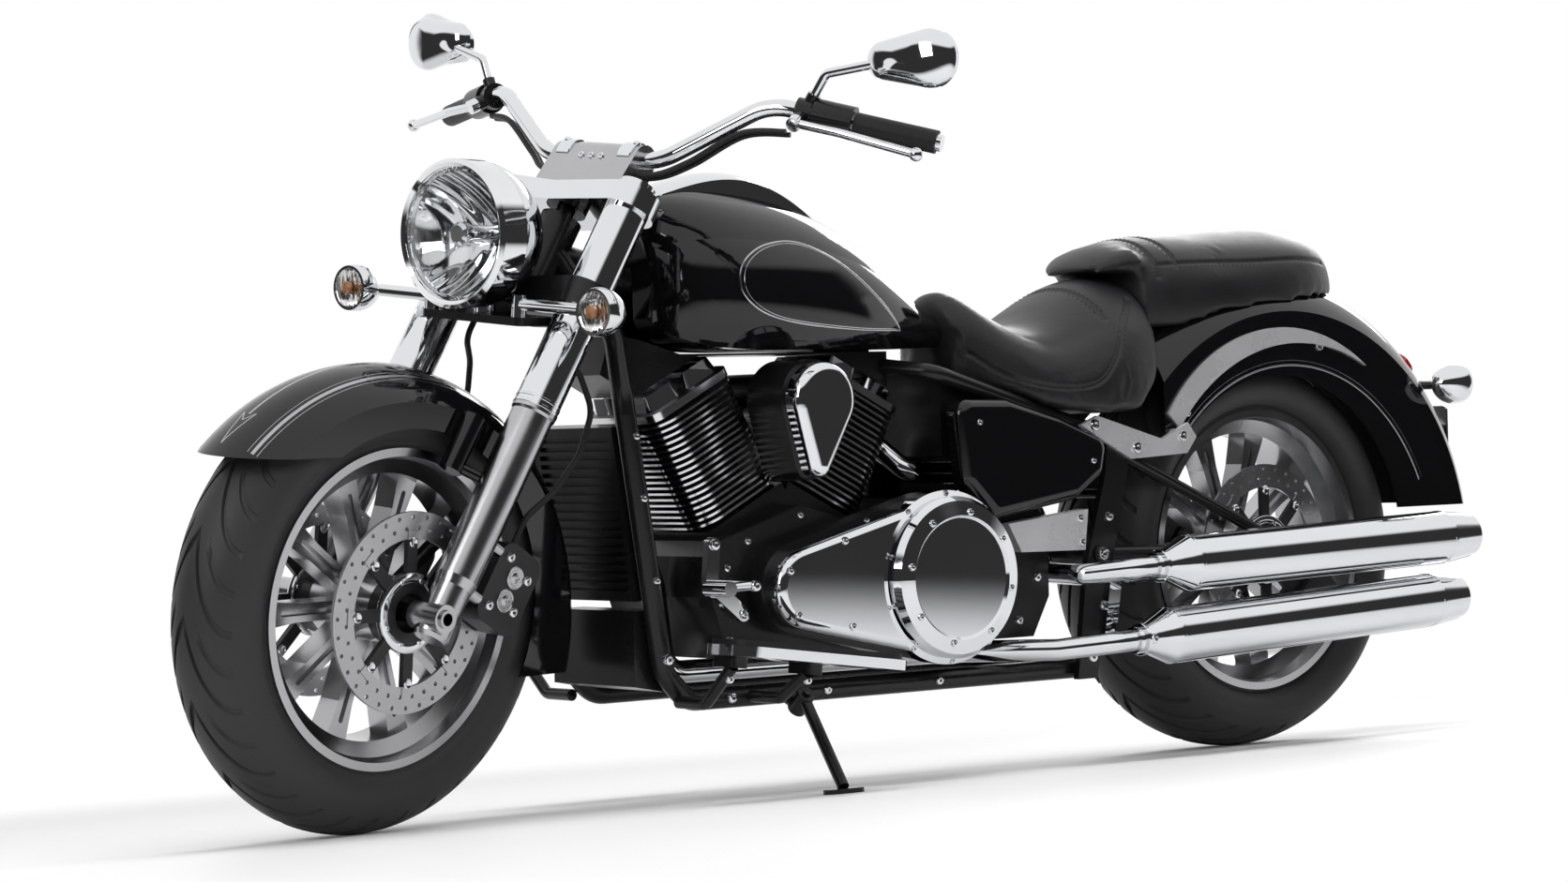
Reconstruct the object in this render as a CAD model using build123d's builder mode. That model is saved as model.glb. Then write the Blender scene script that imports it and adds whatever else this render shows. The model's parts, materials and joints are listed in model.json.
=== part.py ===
from build123d import *
from math import atan2, cos, degrees, radians, sin, sqrt, tan
import os

os.makedirs("parts", exist_ok=True)

# Millimetres. Every piece is modelled with the motorcycle upright and its wheel straight ahead:
# +X forward, +Y to its left, +Z up, the ground at Z = 0 and X = 0 half-way between the axles.
# The finished piece is then moved to its parked place: leaning on its side stand.

# --- Chassis geometry -------------------------------------------------------------------------
WHEELBASE = 1700
RAKE = 30.9
FORK_OFFSET = 32
LEAN = 4.5
PARKED_STEER = 12.6
SEAT_GAP = 0.3
FIT = 0.05
RUNNING = 6

# --- Wheels: radii from the axle, half widths from the wheel's middle ---------------------------
FRONT_TYRE_R = 325
FRONT_TYRE_HALF = 67
FRONT_CROWN_R = 72
FRONT_RIM_R = 227
FRONT_RIM_HALF = 60
REAR_TYRE_R = 330
REAR_TYRE_HALF = 105
REAR_CROWN_R = 150
REAR_RIM_R = 233
REAR_RIM_HALF = 86
RIM_LIP = 7
RIM_WALL = 5
RIM_WELL_DROP = 26
SPOKES = 10
SPOKE_HALF_DEPTH = 19
SPOKE_ROOT_HALF = 13
SPOKE_TIP_HALF = 19
SPOKE_GROOVE_HALF = 4
SPOKE_GROOVE_DEPTH = 7
HUB_R = 48
AXLE_R = 13
AXLE_BORE_R = 9
DISC_R = 142
DISC_BAND = 38
DISC_THICK = 5
DISC_HOLES = 32
DISC_HOLE_R = 3.2
DISC_HOLE_INSETS = (8, 24)
CARRIER_ARM_HALF = 9
CARRIER_ARMS = 8
FRONT_DISC_Y = 92
REAR_DISC_Y = 98

# --- Fork, measured along the steering axis from the point beside the front axle ------------------
LEG_Y = 138
LEG_BEHIND_AXLE = 14
SLIDER_R = 31
UPPER_R = 33
LEG_FOOT = -28
SLIDER_TOP = 338
UPPER_TOP = 700
CAP_HEIGHT = 9
LOWER_YOKE = (494, 534)
UPPER_YOKE = (662, 694)
STEM_R = 14
STEM_TOP = 703
HEAD_TUBE = (542, 654)
HEAD_TUBE_R = 31
LAMP_R = 107
INDICATOR_R = 33
BAR_R = 12.7
GRIP_R = 17
FRONT_GUARD_R = 386
FRONT_GUARD_HALF = 86
FRONT_GUARD_LIP_R = 256
REAR_GUARD_R = 500
REAR_GUARD_HALF = 138
REAR_GUARD_LIP_R = 289
GUARD_WALL = 3

# --- Frame and engine ---------------------------------------------------------------------------
RAIL_R = 16
RAIL_Y = 118
RAIL_Z = 162
SEAT_RAIL_R = 13
SEAT_RAIL_Y = 128
BACKBONE_R = 24
PLATE_Y = (138.2, 150)
ARM_Y = 126
ARM_R = 11.5
CRANK = Vector(160, 0, 290)
V_HALF = 27
FIN_HALF_X = 84
FIN_HALF_Y = 96
FINS = 18
FIN_THICK = 3.6
FIN_PITCH = 9.8
FIN_START = 175
BARREL_R = 70
CASE_HALF = 130
CASE_BOTTOM = 218
CLUTCH_CENTRE = Vector(-75, 0, 322)
CLUTCH_R = 132
MUFFLER_R = 44
MUFFLER_Y = 237
BOARD_PITCH = 7.5


front_axle_point = Vector(WHEELBASE / 2, 0, FRONT_TYRE_R)
rear_axle_point = Vector(-WHEELBASE / 2, 0, REAR_TYRE_R)
across_steer = Vector(cos(radians(RAKE)), 0, sin(radians(RAKE)))
up_steer = Vector(-sin(radians(RAKE)), 0, cos(radians(RAKE)))
steer_foot = front_axle_point - across_steer * FORK_OFFSET
FORK = Plane(origin=steer_foot, x_dir=across_steer, z_dir=up_steer)
LEG_X = FORK_OFFSET - LEG_BEHIND_AXLE
LAMP_CENTRE = front_axle_point + Vector(-142, 0, 522)
INDICATOR_CENTRE = front_axle_point + Vector(-202, 249, 428)


def turn(point, direction, angle):
    """The motion that turns a piece by the angle about the line through the point."""
    return Pos(*point) * Location((0, 0, 0), tuple(direction), angle) * Pos(*(point * -1))


def moved_point(motion, point):
    """Where the motion takes a point."""
    return (motion * Pos(*point)).position


def tyre_bottom(motion, axle, tyre_radius, crown_radius):
    """Lowest height of a tyre with a round crown after the motion."""
    middle = moved_point(motion, axle)
    spin = moved_point(motion, axle + Vector(0, 1, 0)) - middle
    return middle.Z - (tyre_radius - crown_radius) * sqrt(1 - spin.Z**2) - crown_radius


def fork_point(x, y, s):
    """A point given across, beside and along the steering axis."""
    return FORK.from_local_coords(Vector(x, y, s))


# --- Parked pose: steered, leaned, then pitched and lifted until both tyres stand on the ground ---
STEERED = turn(steer_foot, up_steer, PARKED_STEER)
leaned = turn(Vector(0, 0, 0), Vector(1, 0, 0), -LEAN)
front_low = tyre_bottom(leaned * STEERED, front_axle_point, FRONT_TYRE_R, FRONT_CROWN_R)
rear_low = tyre_bottom(leaned, rear_axle_point, REAR_TYRE_R, REAR_CROWN_R)
pitched = turn(Vector(0, 0, 0), Vector(0, 1, 0), degrees(atan2(front_low - rear_low, WHEELBASE)))
lift = -tyre_bottom(pitched * leaned, rear_axle_point, REAR_TYRE_R, REAR_CROWN_R)
FOOTPRINT_MIDDLE = Vector(-100, 78, 0)
PARKED = Pos(-FOOTPRINT_MIDDLE.X, -FOOTPRINT_MIDDLE.Y, lift) * pitched * leaned
PARKED_FRONT = PARKED * STEERED


# --- Shared shapes --------------------------------------------------------------------------------
def tube(points, radius, bend=None):
    """Adds a round bar along the points to the open part, its corners bent to the radii."""
    with BuildLine() as path:
        if bend:
            FilletPolyline(*points, radius=bend)
        else:
            Polyline(*points)
    with BuildSketch(Plane(origin=path.line @ 0, z_dir=path.line % 0)) as section:
        Circle(radius)
    sweep(sections=section.sketch, path=path.line)


def bore(start, end, radius):
    """Cuts a round hole from start to end through the open part."""
    with BuildLine() as path:
        Line(start, end)
    with BuildSketch(Plane(origin=start, z_dir=Vector(end) - Vector(start))) as section:
        Circle(radius)
    sweep(sections=section.sketch, path=path.line, mode=Mode.SUBTRACT)


def side_plane(y):
    """The plane at the given height off the middle, drawn in X and Z and extruded outwards."""
    return Plane(origin=(0, y, 0), x_dir=(1, 0, 0), z_dir=(0, -1, 0))


def wheel_section(axle):
    """The plane through the axle for profiles drawn as (across, radius)."""
    return Plane(origin=axle, x_dir=(0, 1, 0), z_dir=(1, 0, 0))


def spin_axis(axle):
    """The line that a wheel turns about."""
    return Axis(axle, (0, 1, 0))


# --- Wheels -----------------------------------------------------------------------------------------
def rim_form(axle, rim_radius, half_width, hub_half, spoke_width):
    """A cast rim: flanged channel, grooved spokes and hub with the axle's bore."""
    well = rim_radius - RIM_LIP - RIM_WELL_DROP
    seat = rim_radius - RIM_LIP
    with BuildSketch() as spoke:
        with BuildLine():
            Polyline(
                (HUB_R * 0.8, -SPOKE_ROOT_HALF),
                (well * 0.72, -SPOKE_ROOT_HALF * spoke_width),
                (well - RIM_WALL * 0.5, -SPOKE_TIP_HALF * spoke_width),
                (well - RIM_WALL * 0.5, SPOKE_TIP_HALF * spoke_width),
                (well * 0.72, SPOKE_ROOT_HALF * spoke_width),
                (HUB_R * 0.8, SPOKE_ROOT_HALF),
                close=True,
            )
        make_face()
    with BuildPart() as rim:
        with BuildSketch(wheel_section(axle)):
            with BuildLine():
                Polyline(
                    (-half_width, rim_radius),
                    (-half_width + RIM_WALL, rim_radius),
                    (-half_width + RIM_WALL, seat),
                    (-half_width * 0.62, seat),
                    (-half_width * 0.45, well),
                    (half_width * 0.45, well),
                    (half_width * 0.62, seat),
                    (half_width - RIM_WALL, seat),
                    (half_width - RIM_WALL, rim_radius),
                    (half_width, rim_radius),
                    (half_width, seat - RIM_WALL),
                    (half_width * 0.7, seat - 2 * RIM_WALL),
                    (half_width * 0.5, well - RIM_WALL),
                    (-half_width * 0.5, well - RIM_WALL),
                    (-half_width * 0.7, seat - 2 * RIM_WALL),
                    (-half_width, seat - RIM_WALL),
                    close=True,
                )
            make_face()
        revolve(axis=spin_axis(axle))
        with BuildSketch(Plane(origin=axle, x_dir=(1, 0, 0), z_dir=(0, -1, 0))):
            with PolarLocations(0, SPOKES):
                add(spoke.sketch)
        extrude(amount=SPOKE_HALF_DEPTH, both=True)
        with BuildSketch(wheel_section(axle)):
            Rectangle(2 * hub_half, HUB_R, align=(Align.CENTER, Align.MIN))
        revolve(axis=spin_axis(axle))
        for side in (-1, 1):
            face_y = side * (SPOKE_HALF_DEPTH - SPOKE_GROOVE_DEPTH)
            groove_plane = Plane(origin=axle + Vector(0, face_y, 0), x_dir=(1, 0, 0), z_dir=(0, side, 0))
            with BuildSketch(groove_plane):
                with PolarLocations((HUB_R + well) / 2, SPOKES):
                    SlotOverall(well - HUB_R - 50, 2 * SPOKE_GROOVE_HALF)
            extrude(amount=SPOKE_GROOVE_DEPTH + 1, mode=Mode.SUBTRACT)
        bore(axle - Vector(0, hub_half + 1, 0), axle + Vector(0, hub_half + 1, 0), AXLE_R + FIT)
    return rim


def tyre_form(axle, tyre_radius, half_width, crown_radius, rim_radius, rim_half):
    """A tyre ring: round crown, bulged walls and two beads in the rim's channel."""
    shoulder = tyre_radius - (crown_radius - sqrt(crown_radius**2 - (half_width * 0.9) ** 2))
    bead = rim_radius - RIM_LIP + SEAT_GAP
    bead_y = rim_half - RIM_WALL - SEAT_GAP
    with BuildPart() as tyre:
        with BuildSketch(wheel_section(axle)):
            with BuildLine():
                ThreePointArc((-half_width * 0.9, shoulder), (0, tyre_radius), (half_width * 0.9, shoulder))
                ThreePointArc(
                    (half_width * 0.9, shoulder),
                    (half_width, (shoulder + rim_radius) / 2),
                    (bead_y, rim_radius + 4),
                )
                Polyline(
                    (bead_y, rim_radius + 4),
                    (bead_y, bead),
                    (bead_y - 12, bead),
                    (half_width * 0.62, tyre_radius - 16 - (tyre_radius - shoulder)),
                    (0, tyre_radius - 16),
                    (-half_width * 0.62, tyre_radius - 16 - (tyre_radius - shoulder)),
                    (-bead_y + 12, bead),
                    (-bead_y, bead),
                    (-bead_y, rim_radius + 4),
                )
                ThreePointArc(
                    (-bead_y, rim_radius + 4),
                    (-half_width, (shoulder + rim_radius) / 2),
                    (-half_width * 0.9, shoulder),
                )
            make_face()
        revolve(axis=spin_axis(axle))
    return tyre


def disc_form(axle, disc_y, hub_y, seat_r):
    """A floating brake disc: swept band on a carrier whose arms reach in to the hub's end."""
    disc_plane = Plane(origin=axle + Vector(0, disc_y, 0), x_dir=(1, 0, 0), z_dir=(0, -1, 0))
    away = 1 if disc_y > 0 else -1
    with BuildPart() as disc:
        with BuildSketch(disc_plane):
            Circle(DISC_R)
            Circle(DISC_R - DISC_BAND, mode=Mode.SUBTRACT)
            for row, inset in enumerate(DISC_HOLE_INSETS):
                with PolarLocations(DISC_R - inset, DISC_HOLES, start_angle=row * 180 / DISC_HOLES):
                    Circle(DISC_HOLE_R, mode=Mode.SUBTRACT)
        extrude(amount=DISC_THICK / 2, both=True)
        with BuildSketch(disc_plane):
            with PolarLocations((seat_r + DISC_R - DISC_BAND) / 2 + 3, CARRIER_ARMS):
                Rectangle(DISC_R - DISC_BAND - seat_r + 18, 2 * CARRIER_ARM_HALF)
            Circle(seat_r + 8)
            Circle(seat_r - 20, mode=Mode.SUBTRACT)
        extrude(amount=DISC_THICK * 0.8, both=True)
        inner_y = disc_y - away * DISC_THICK
        drum_plane = Plane(origin=axle + Vector(0, hub_y, 0), x_dir=(1, 0, 0), z_dir=(0, away, 0))
        with BuildSketch(drum_plane):
            Circle(seat_r)
            Circle(seat_r - 20, mode=Mode.SUBTRACT)
        extrude(amount=abs(inner_y - hub_y) + 1)
    return disc


def guard_section(axle_plane, half_width, outer, crown_drop, depth):
    """Sketches a mudguard's section: round crown, upright sides, open towards the tyre."""
    with BuildSketch(axle_plane) as section:
        with BuildLine():
            ThreePointArc((-half_width, outer - crown_drop), (0, outer), (half_width, outer - crown_drop))
            Polyline(
                (half_width, outer - crown_drop),
                (half_width, outer - depth),
                (half_width - GUARD_WALL, outer - depth),
                (half_width - GUARD_WALL, outer - crown_drop),
            )
            ThreePointArc(
                (half_width - GUARD_WALL, outer - crown_drop),
                (0, outer - GUARD_WALL),
                (-half_width + GUARD_WALL, outer - crown_drop),
            )
            Polyline(
                (-half_width + GUARD_WALL, outer - crown_drop),
                (-half_width + GUARD_WALL, outer - depth),
                (-half_width, outer - depth),
                (-half_width, outer - crown_drop),
            )
        make_face()
    return section.sketch


def guard_form(axle_plane, turning, half_width, outer, crown_drop, depth):
    """Revolves a whole mudguard ring, to be cut to its outline in side view."""
    revolve(
        profiles=guard_section(axle_plane, half_width, outer, crown_drop, depth),
        axis=turning,
    )


# --- Front wheel --------------------------------------------------------------------------------------
FRONT_HUB_HALF = 60
front_rim = rim_form(front_axle_point, FRONT_RIM_R, FRONT_RIM_HALF, FRONT_HUB_HALF, 1.0)
front_rim.part.label = "front_rim"
front_rim.part.move(PARKED_FRONT)
export_step(front_rim.part, "parts/front_rim.step")

front_tyre = tyre_form(
    front_axle_point, FRONT_TYRE_R, FRONT_TYRE_HALF, FRONT_CROWN_R, FRONT_RIM_R, FRONT_RIM_HALF
)
front_tyre.part.label = "front_tyre"
front_tyre.part.move(PARKED_FRONT)
export_step(front_tyre.part, "parts/front_tyre.step")

left_disc = disc_form(front_axle_point, FRONT_DISC_Y, FRONT_HUB_HALF + SEAT_GAP, HUB_R)
right_disc = disc_form(front_axle_point, -FRONT_DISC_Y, -FRONT_HUB_HALF - SEAT_GAP, HUB_R)
with BuildPart() as front_discs:
    add(left_disc.part)
    add(right_disc.part)
front_discs.part.label = "front_discs"
front_discs.part.move(PARKED_FRONT)
export_step(front_discs.part, "parts/front_discs.step")

# --- Rear wheel -----------------------------------------------------------------------------------------
REAR_HUB_HALF = 66
rear_rim = rim_form(rear_axle_point, REAR_RIM_R, REAR_RIM_HALF, REAR_HUB_HALF, 1.15)
rear_rim.part.label = "rear_rim"
rear_rim.part.move(PARKED)
export_step(rear_rim.part, "parts/rear_rim.step")

rear_tyre = tyre_form(
    rear_axle_point, REAR_TYRE_R, REAR_TYRE_HALF, REAR_CROWN_R, REAR_RIM_R, REAR_RIM_HALF
)
rear_tyre.part.label = "rear_tyre"
rear_tyre.part.move(PARKED)
export_step(rear_tyre.part, "parts/rear_tyre.step")

rear_disc = disc_form(rear_axle_point, REAR_DISC_Y, REAR_HUB_HALF + SEAT_GAP, HUB_R)
rear_disc.part.label = "rear_disc"
rear_disc.part.move(PARKED)
export_step(rear_disc.part, "parts/rear_disc.step")

# --- Fork -----------------------------------------------------------------------------------------------
FORK_LEGS = [(LEG_X, side * LEG_Y) for side in (1, -1)]
AXLE_BOSS_R = 20
AXLE_BOSS_HALF = 29
CALIPER_LUGS = (62, 138)
CALIPER_LUG_R = 9
LUG_REACH = 40

with BuildPart() as fork_sliders:
    for x, y in FORK_LEGS:
        with BuildSketch(Plane(origin=fork_point(x, y, 0), x_dir=(0, 1, 0), z_dir=across_steer)):
            with BuildLine():
                Polyline(
                    (0, LEG_FOOT),
                    (SLIDER_R * 0.72, LEG_FOOT),
                    (SLIDER_R * 0.86, LEG_FOOT + 6),
                    (SLIDER_R * 0.9, 52),
                    (SLIDER_R, 66),
                    (SLIDER_R, SLIDER_TOP - 12),
                    (SLIDER_R + 2, SLIDER_TOP - 8),
                    (SLIDER_R + 2, SLIDER_TOP),
                    (0, SLIDER_TOP),
                    close=True,
                )
            make_face()
        revolve(axis=Axis(fork_point(x, y, 0), up_steer))
        for s in CALIPER_LUGS:
            tube((fork_point(x - SLIDER_R + 6, y, s), fork_point(x - SLIDER_R - LUG_REACH / 2, y, s)), CALIPER_LUG_R)
        boss_start = front_axle_point + Vector(0, y - AXLE_BOSS_HALF, 0)
        boss_end = front_axle_point + Vector(0, y + AXLE_BOSS_HALF, 0)
        tube((boss_start, boss_end), AXLE_BOSS_R)
        bore(boss_start - Vector(0, 20, 0), boss_end + Vector(0, 20, 0), AXLE_R + FIT)
fork_sliders.part.label = "fork_sliders"
fork_sliders.part.move(PARKED_FRONT)
export_step(fork_sliders.part, "parts/fork_sliders.step")

with BuildPart() as fork_uppers:
    for x, y in FORK_LEGS:
        tube((fork_point(x, y, SLIDER_TOP + SEAT_GAP), fork_point(x, y, UPPER_TOP)), UPPER_R)
        tube((fork_point(x, y, UPPER_TOP), fork_point(x, y, UPPER_TOP + CAP_HEIGHT)), UPPER_R - 6)
fork_uppers.part.label = "fork_uppers"
fork_uppers.part.move(PARKED_FRONT)
export_step(fork_uppers.part, "parts/fork_uppers.step")

AXLE_END = LEG_Y + SLIDER_R + 2
with BuildPart() as front_axle:
    tube((front_axle_point + Vector(0, AXLE_END, 0), front_axle_point - Vector(0, AXLE_END, 0)), AXLE_R)
    bore(
        front_axle_point + Vector(0, AXLE_END + 1, 0),
        front_axle_point - Vector(0, AXLE_END + 1, 0),
        AXLE_BORE_R,
    )
front_axle.part.label = "front_axle"
front_axle.part.move(PARKED_FRONT)
export_step(front_axle.part, "parts/front_axle.step")


def yoke_arms(span, stem_round):
    """Adds a yoke across the fork: each leg's clamp is drawn in to the stem."""
    for leg in FORK_LEGS:
        with BuildSketch(Plane(origin=fork_point(0, 0, span[0]), x_dir=across_steer, z_dir=up_steer)) as arm:
            with Locations(leg):
                Circle(UPPER_R + 9)
            Circle(stem_round)
            make_hull()
        extrude(to_extrude=arm.sketch, amount=span[1] - span[0])


def leg_holes(low, high):
    """Cuts the holes that the fork legs pass through."""
    for x, y in FORK_LEGS:
        bore(fork_point(x, y, low), fork_point(x, y, high), UPPER_R + FIT)


LAMP_PLATE = {
    "x": (front_axle_point.X - 265, front_axle_point.X - 182),
    "z": (front_axle_point.Z + 397, front_axle_point.Z + 409),
    "half": 101,
}
with BuildPart() as lower_yoke:
    yoke_arms(LOWER_YOKE, HEAD_TUBE_R + 8)
    leg_holes(LOWER_YOKE[0] - 1, LOWER_YOKE[1] + 1)
    tube((fork_point(0, 0, LOWER_YOKE[0]), fork_point(0, 0, STEM_TOP)), STEM_R)
    with BuildSketch(side_plane(0)):
        with BuildLine():
            Polyline(
                (LAMP_PLATE["x"][0] - 5, LAMP_PLATE["z"][0] + 50),
                (LAMP_PLATE["x"][0] - 5, LAMP_PLATE["z"][0]),
                (LAMP_PLATE["x"][0] + 15, LAMP_PLATE["z"][0]),
                (LAMP_PLATE["x"][0] + 13, LAMP_PLATE["z"][0] + 44),
                close=True,
            )
        make_face()
    extrude(amount=24, both=True)
    lamp_plate_middle = (sum(LAMP_PLATE["x"]) / 2, 0, LAMP_PLATE["z"][0])
    with BuildSketch(Plane(origin=lamp_plate_middle)):
        RectangleRounded(LAMP_PLATE["x"][1] - LAMP_PLATE["x"][0], 2 * LAMP_PLATE["half"], 12)
    extrude(amount=LAMP_PLATE["z"][1] - LAMP_PLATE["z"][0])
lower_yoke.part.label = "lower_yoke"
lower_yoke.part.move(PARKED_FRONT)
export_step(lower_yoke.part, "parts/lower_yoke.step")

with BuildPart() as upper_yoke:
    yoke_arms(UPPER_YOKE, HEAD_TUBE_R + 14)
    leg_holes(UPPER_YOKE[0] - 1, UPPER_YOKE[1] + 1)
    bore(fork_point(0, 0, UPPER_YOKE[0] - 1), fork_point(0, 0, UPPER_YOKE[1] + 1), STEM_R + FIT)
upper_yoke.part.label = "upper_yoke"
upper_yoke.part.move(PARKED_FRONT)
export_step(upper_yoke.part, "parts/upper_yoke.step")

# --- Handlebar --------------------------------------------------------------------------------------------
BAR_LEFT = (
    front_axle_point + Vector(-447, 112, 636),
    front_axle_point + Vector(-505, 270, 727),
    front_axle_point + Vector(-614, 503, 684),
)
BAR_BEND = 95
GRIP_SPAN = (0.5, 0.97)


def flip(point):
    """The same point on the other side of the motorcycle."""
    return Vector(point.X, -point.Y, point.Z)


def along(start, end, share):
    """A point part of the way from start to end."""
    return start + (end - start) * share


bar_points = [flip(p) for p in reversed(BAR_LEFT)] + list(BAR_LEFT)
with BuildPart() as handlebar:
    tube(bar_points, BAR_R, BAR_BEND)
handlebar.part.label = "handlebar"
handlebar.part.move(PARKED_FRONT)
export_step(handlebar.part, "parts/handlebar.step")

bar_middle = along(BAR_LEFT[0], flip(BAR_LEFT[0]), 0.5)
bar_place = FORK.to_local_coords(bar_middle)
RISER_HALF = 84
RISER_RIM = 52
RISER_ROUND = 23
RISER_GROOVE = 3
riser_plane = Plane(origin=fork_point(0, 0, 0), x_dir=across_steer, z_dir=(0, -1, 0))
with BuildPart() as riser_clamp:
    with BuildSketch(riser_plane):
        with Locations((bar_place.X, bar_place.Z)):
            Circle(RISER_ROUND)
        with Locations((bar_place.X + 4, UPPER_YOKE[1] + SEAT_GAP + 3)):
            Rectangle(58, 6)
        make_hull()
    extrude(amount=RISER_HALF, both=True)
    for side in (1, -1):
        with BuildSketch(riser_plane.offset(-side * RISER_RIM)):
            with Locations((bar_place.X, bar_place.Z)):
                Circle(RISER_ROUND + 1)
                Circle(RISER_ROUND - RISER_GROOVE, mode=Mode.SUBTRACT)
        extrude(amount=-side * 6, mode=Mode.SUBTRACT)
    bore(bar_middle - Vector(0, 90, 0), bar_middle + Vector(0, 90, 0), BAR_R + FIT)
    bore(fork_point(0, 0, UPPER_YOKE[1] - 1), fork_point(0, 0, STEM_TOP + 1), STEM_R + 1)
riser_clamp.part.label = "riser_clamp"
riser_clamp.part.move(PARKED_FRONT)
export_step(riser_clamp.part, "parts/riser_clamp.step")

with BuildPart() as grips:
    for spot in (Vector, flip):
        inner = spot(along(BAR_LEFT[1], BAR_LEFT[2], GRIP_SPAN[0]))
        outer = spot(along(BAR_LEFT[1], BAR_LEFT[2], GRIP_SPAN[1]))
        tube((inner, outer), GRIP_R)
        bore(inner + (inner - outer) * 0.1, outer + (outer - inner) * 0.1, BAR_R + FIT)
grips.part.label = "grips"
grips.part.move(PARKED_FRONT)
export_step(grips.part, "parts/grips.step")

SWITCH_SPAN = (0.26, 0.49)
PERCH_SPAN = (0.16, 0.25)
MIRROR_POST = 30
MIRROR_ELBOW = front_axle_point + Vector(-533, 349, 775)
MIRROR_NECK = front_axle_point + Vector(-553, 444, 796)
MIRROR_MIDDLE = front_axle_point + Vector(-567, 480, 800)
MIRROR_TOE = 6
LEVER_PERCH_R = 11
MIRROR_PERCH_R = 10
LEVER_R = 6.5
LEVER_BALL_R = 10
MIRROR_STEM_R = 7
MIRROR_LONG = 74
MIRROR_TALL = 42
MIRROR_RIM = 8
MIRROR_DEPTH = 20
MIRROR_SLOPE = 14
LEVER_ROOT = front_axle_point + Vector(-500, 326, 705)
LEVER_KNEE = front_axle_point + Vector(-512, 400, 691)
LEVER_TIP = front_axle_point + Vector(-545, 512, 667)
PERCH_AT = 0.205
left_perch = along(BAR_LEFT[1], BAR_LEFT[2], PERCH_AT)
mirror_up = (MIRROR_ELBOW - left_perch).normalized()
mirror_foot = left_perch + mirror_up * MIRROR_POST
with BuildPart() as bar_controls:
    for spot in (Vector, flip):
        for span, radius in ((SWITCH_SPAN, 24), (PERCH_SPAN, 20)):
            near = spot(along(BAR_LEFT[1], BAR_LEFT[2], span[0]))
            far = spot(along(BAR_LEFT[1], BAR_LEFT[2], span[1]))
            tube((near, far), radius)
        perch = spot(left_perch)
        tube((perch, spot(LEVER_ROOT)), LEVER_PERCH_R)
        tube((perch, spot(mirror_foot)), MIRROR_PERCH_R)
        bore(spot(BAR_LEFT[1]), spot(BAR_LEFT[2]), BAR_R + FIT)
bar_controls.part.label = "bar_controls"
bar_controls.part.move(PARKED_FRONT)
export_step(bar_controls.part, "parts/bar_controls.step")

lever_start = LEVER_ROOT + (LEVER_ROOT - left_perch).normalized() * SEAT_GAP
with BuildPart() as levers:
    for spot in (Vector, flip):
        out = (spot(LEVER_ROOT) - spot(left_perch)).normalized()
        with BuildSketch(Plane(origin=spot(lever_start), z_dir=out)):
            Circle(LEVER_PERCH_R)
        extrude(amount=2 * LEVER_R)
        tube((spot(LEVER_ROOT) + out * LEVER_R, spot(LEVER_KNEE), spot(LEVER_TIP)), LEVER_R, 60)
        with Locations(spot(LEVER_TIP)):
            Sphere(LEVER_BALL_R)
levers.part.label = "levers"
levers.part.move(PARKED_FRONT)
export_step(levers.part, "parts/levers.step")

toe = radians(MIRROR_TOE)


def mirror_outline(plane, out, shrink):
    """Sketches a mirror's outline: a large round outboard and a smaller one inboard."""
    with BuildSketch(plane) as outline:
        with Locations((MIRROR_LONG * 0.4, 3 * out)):
            Circle(MIRROR_TALL - shrink)
        with Locations((-MIRROR_LONG * 0.62, -3 * out)):
            Circle(MIRROR_TALL * 0.66 - shrink)
        make_hull()
    return outline.sketch


with BuildPart() as mirrors:
    for spot in (Vector, flip):
        out = 1 if spot is Vector else -1
        stem_start = spot(mirror_foot + mirror_up * SEAT_GAP)
        tube((stem_start, spot(MIRROR_ELBOW), spot(MIRROR_NECK)), MIRROR_STEM_R, 14)
        outboard = (-sin(toe), out * cos(toe), 0)
        ahead = (cos(toe), out * sin(toe), 0)
        face = Plane(origin=spot(MIRROR_MIDDLE), x_dir=outboard, z_dir=ahead)
        outlines = [mirror_outline(face, out, 0), mirror_outline(face.offset(MIRROR_DEPTH), out, MIRROR_SLOPE)]
        extrude(to_extrude=outlines[0], amount=-MIRROR_RIM)
        loft(sections=outlines)
mirrors.part.label = "mirrors"
mirrors.part.move(PARKED_FRONT)
export_step(mirrors.part, "parts/mirrors.step")

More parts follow.
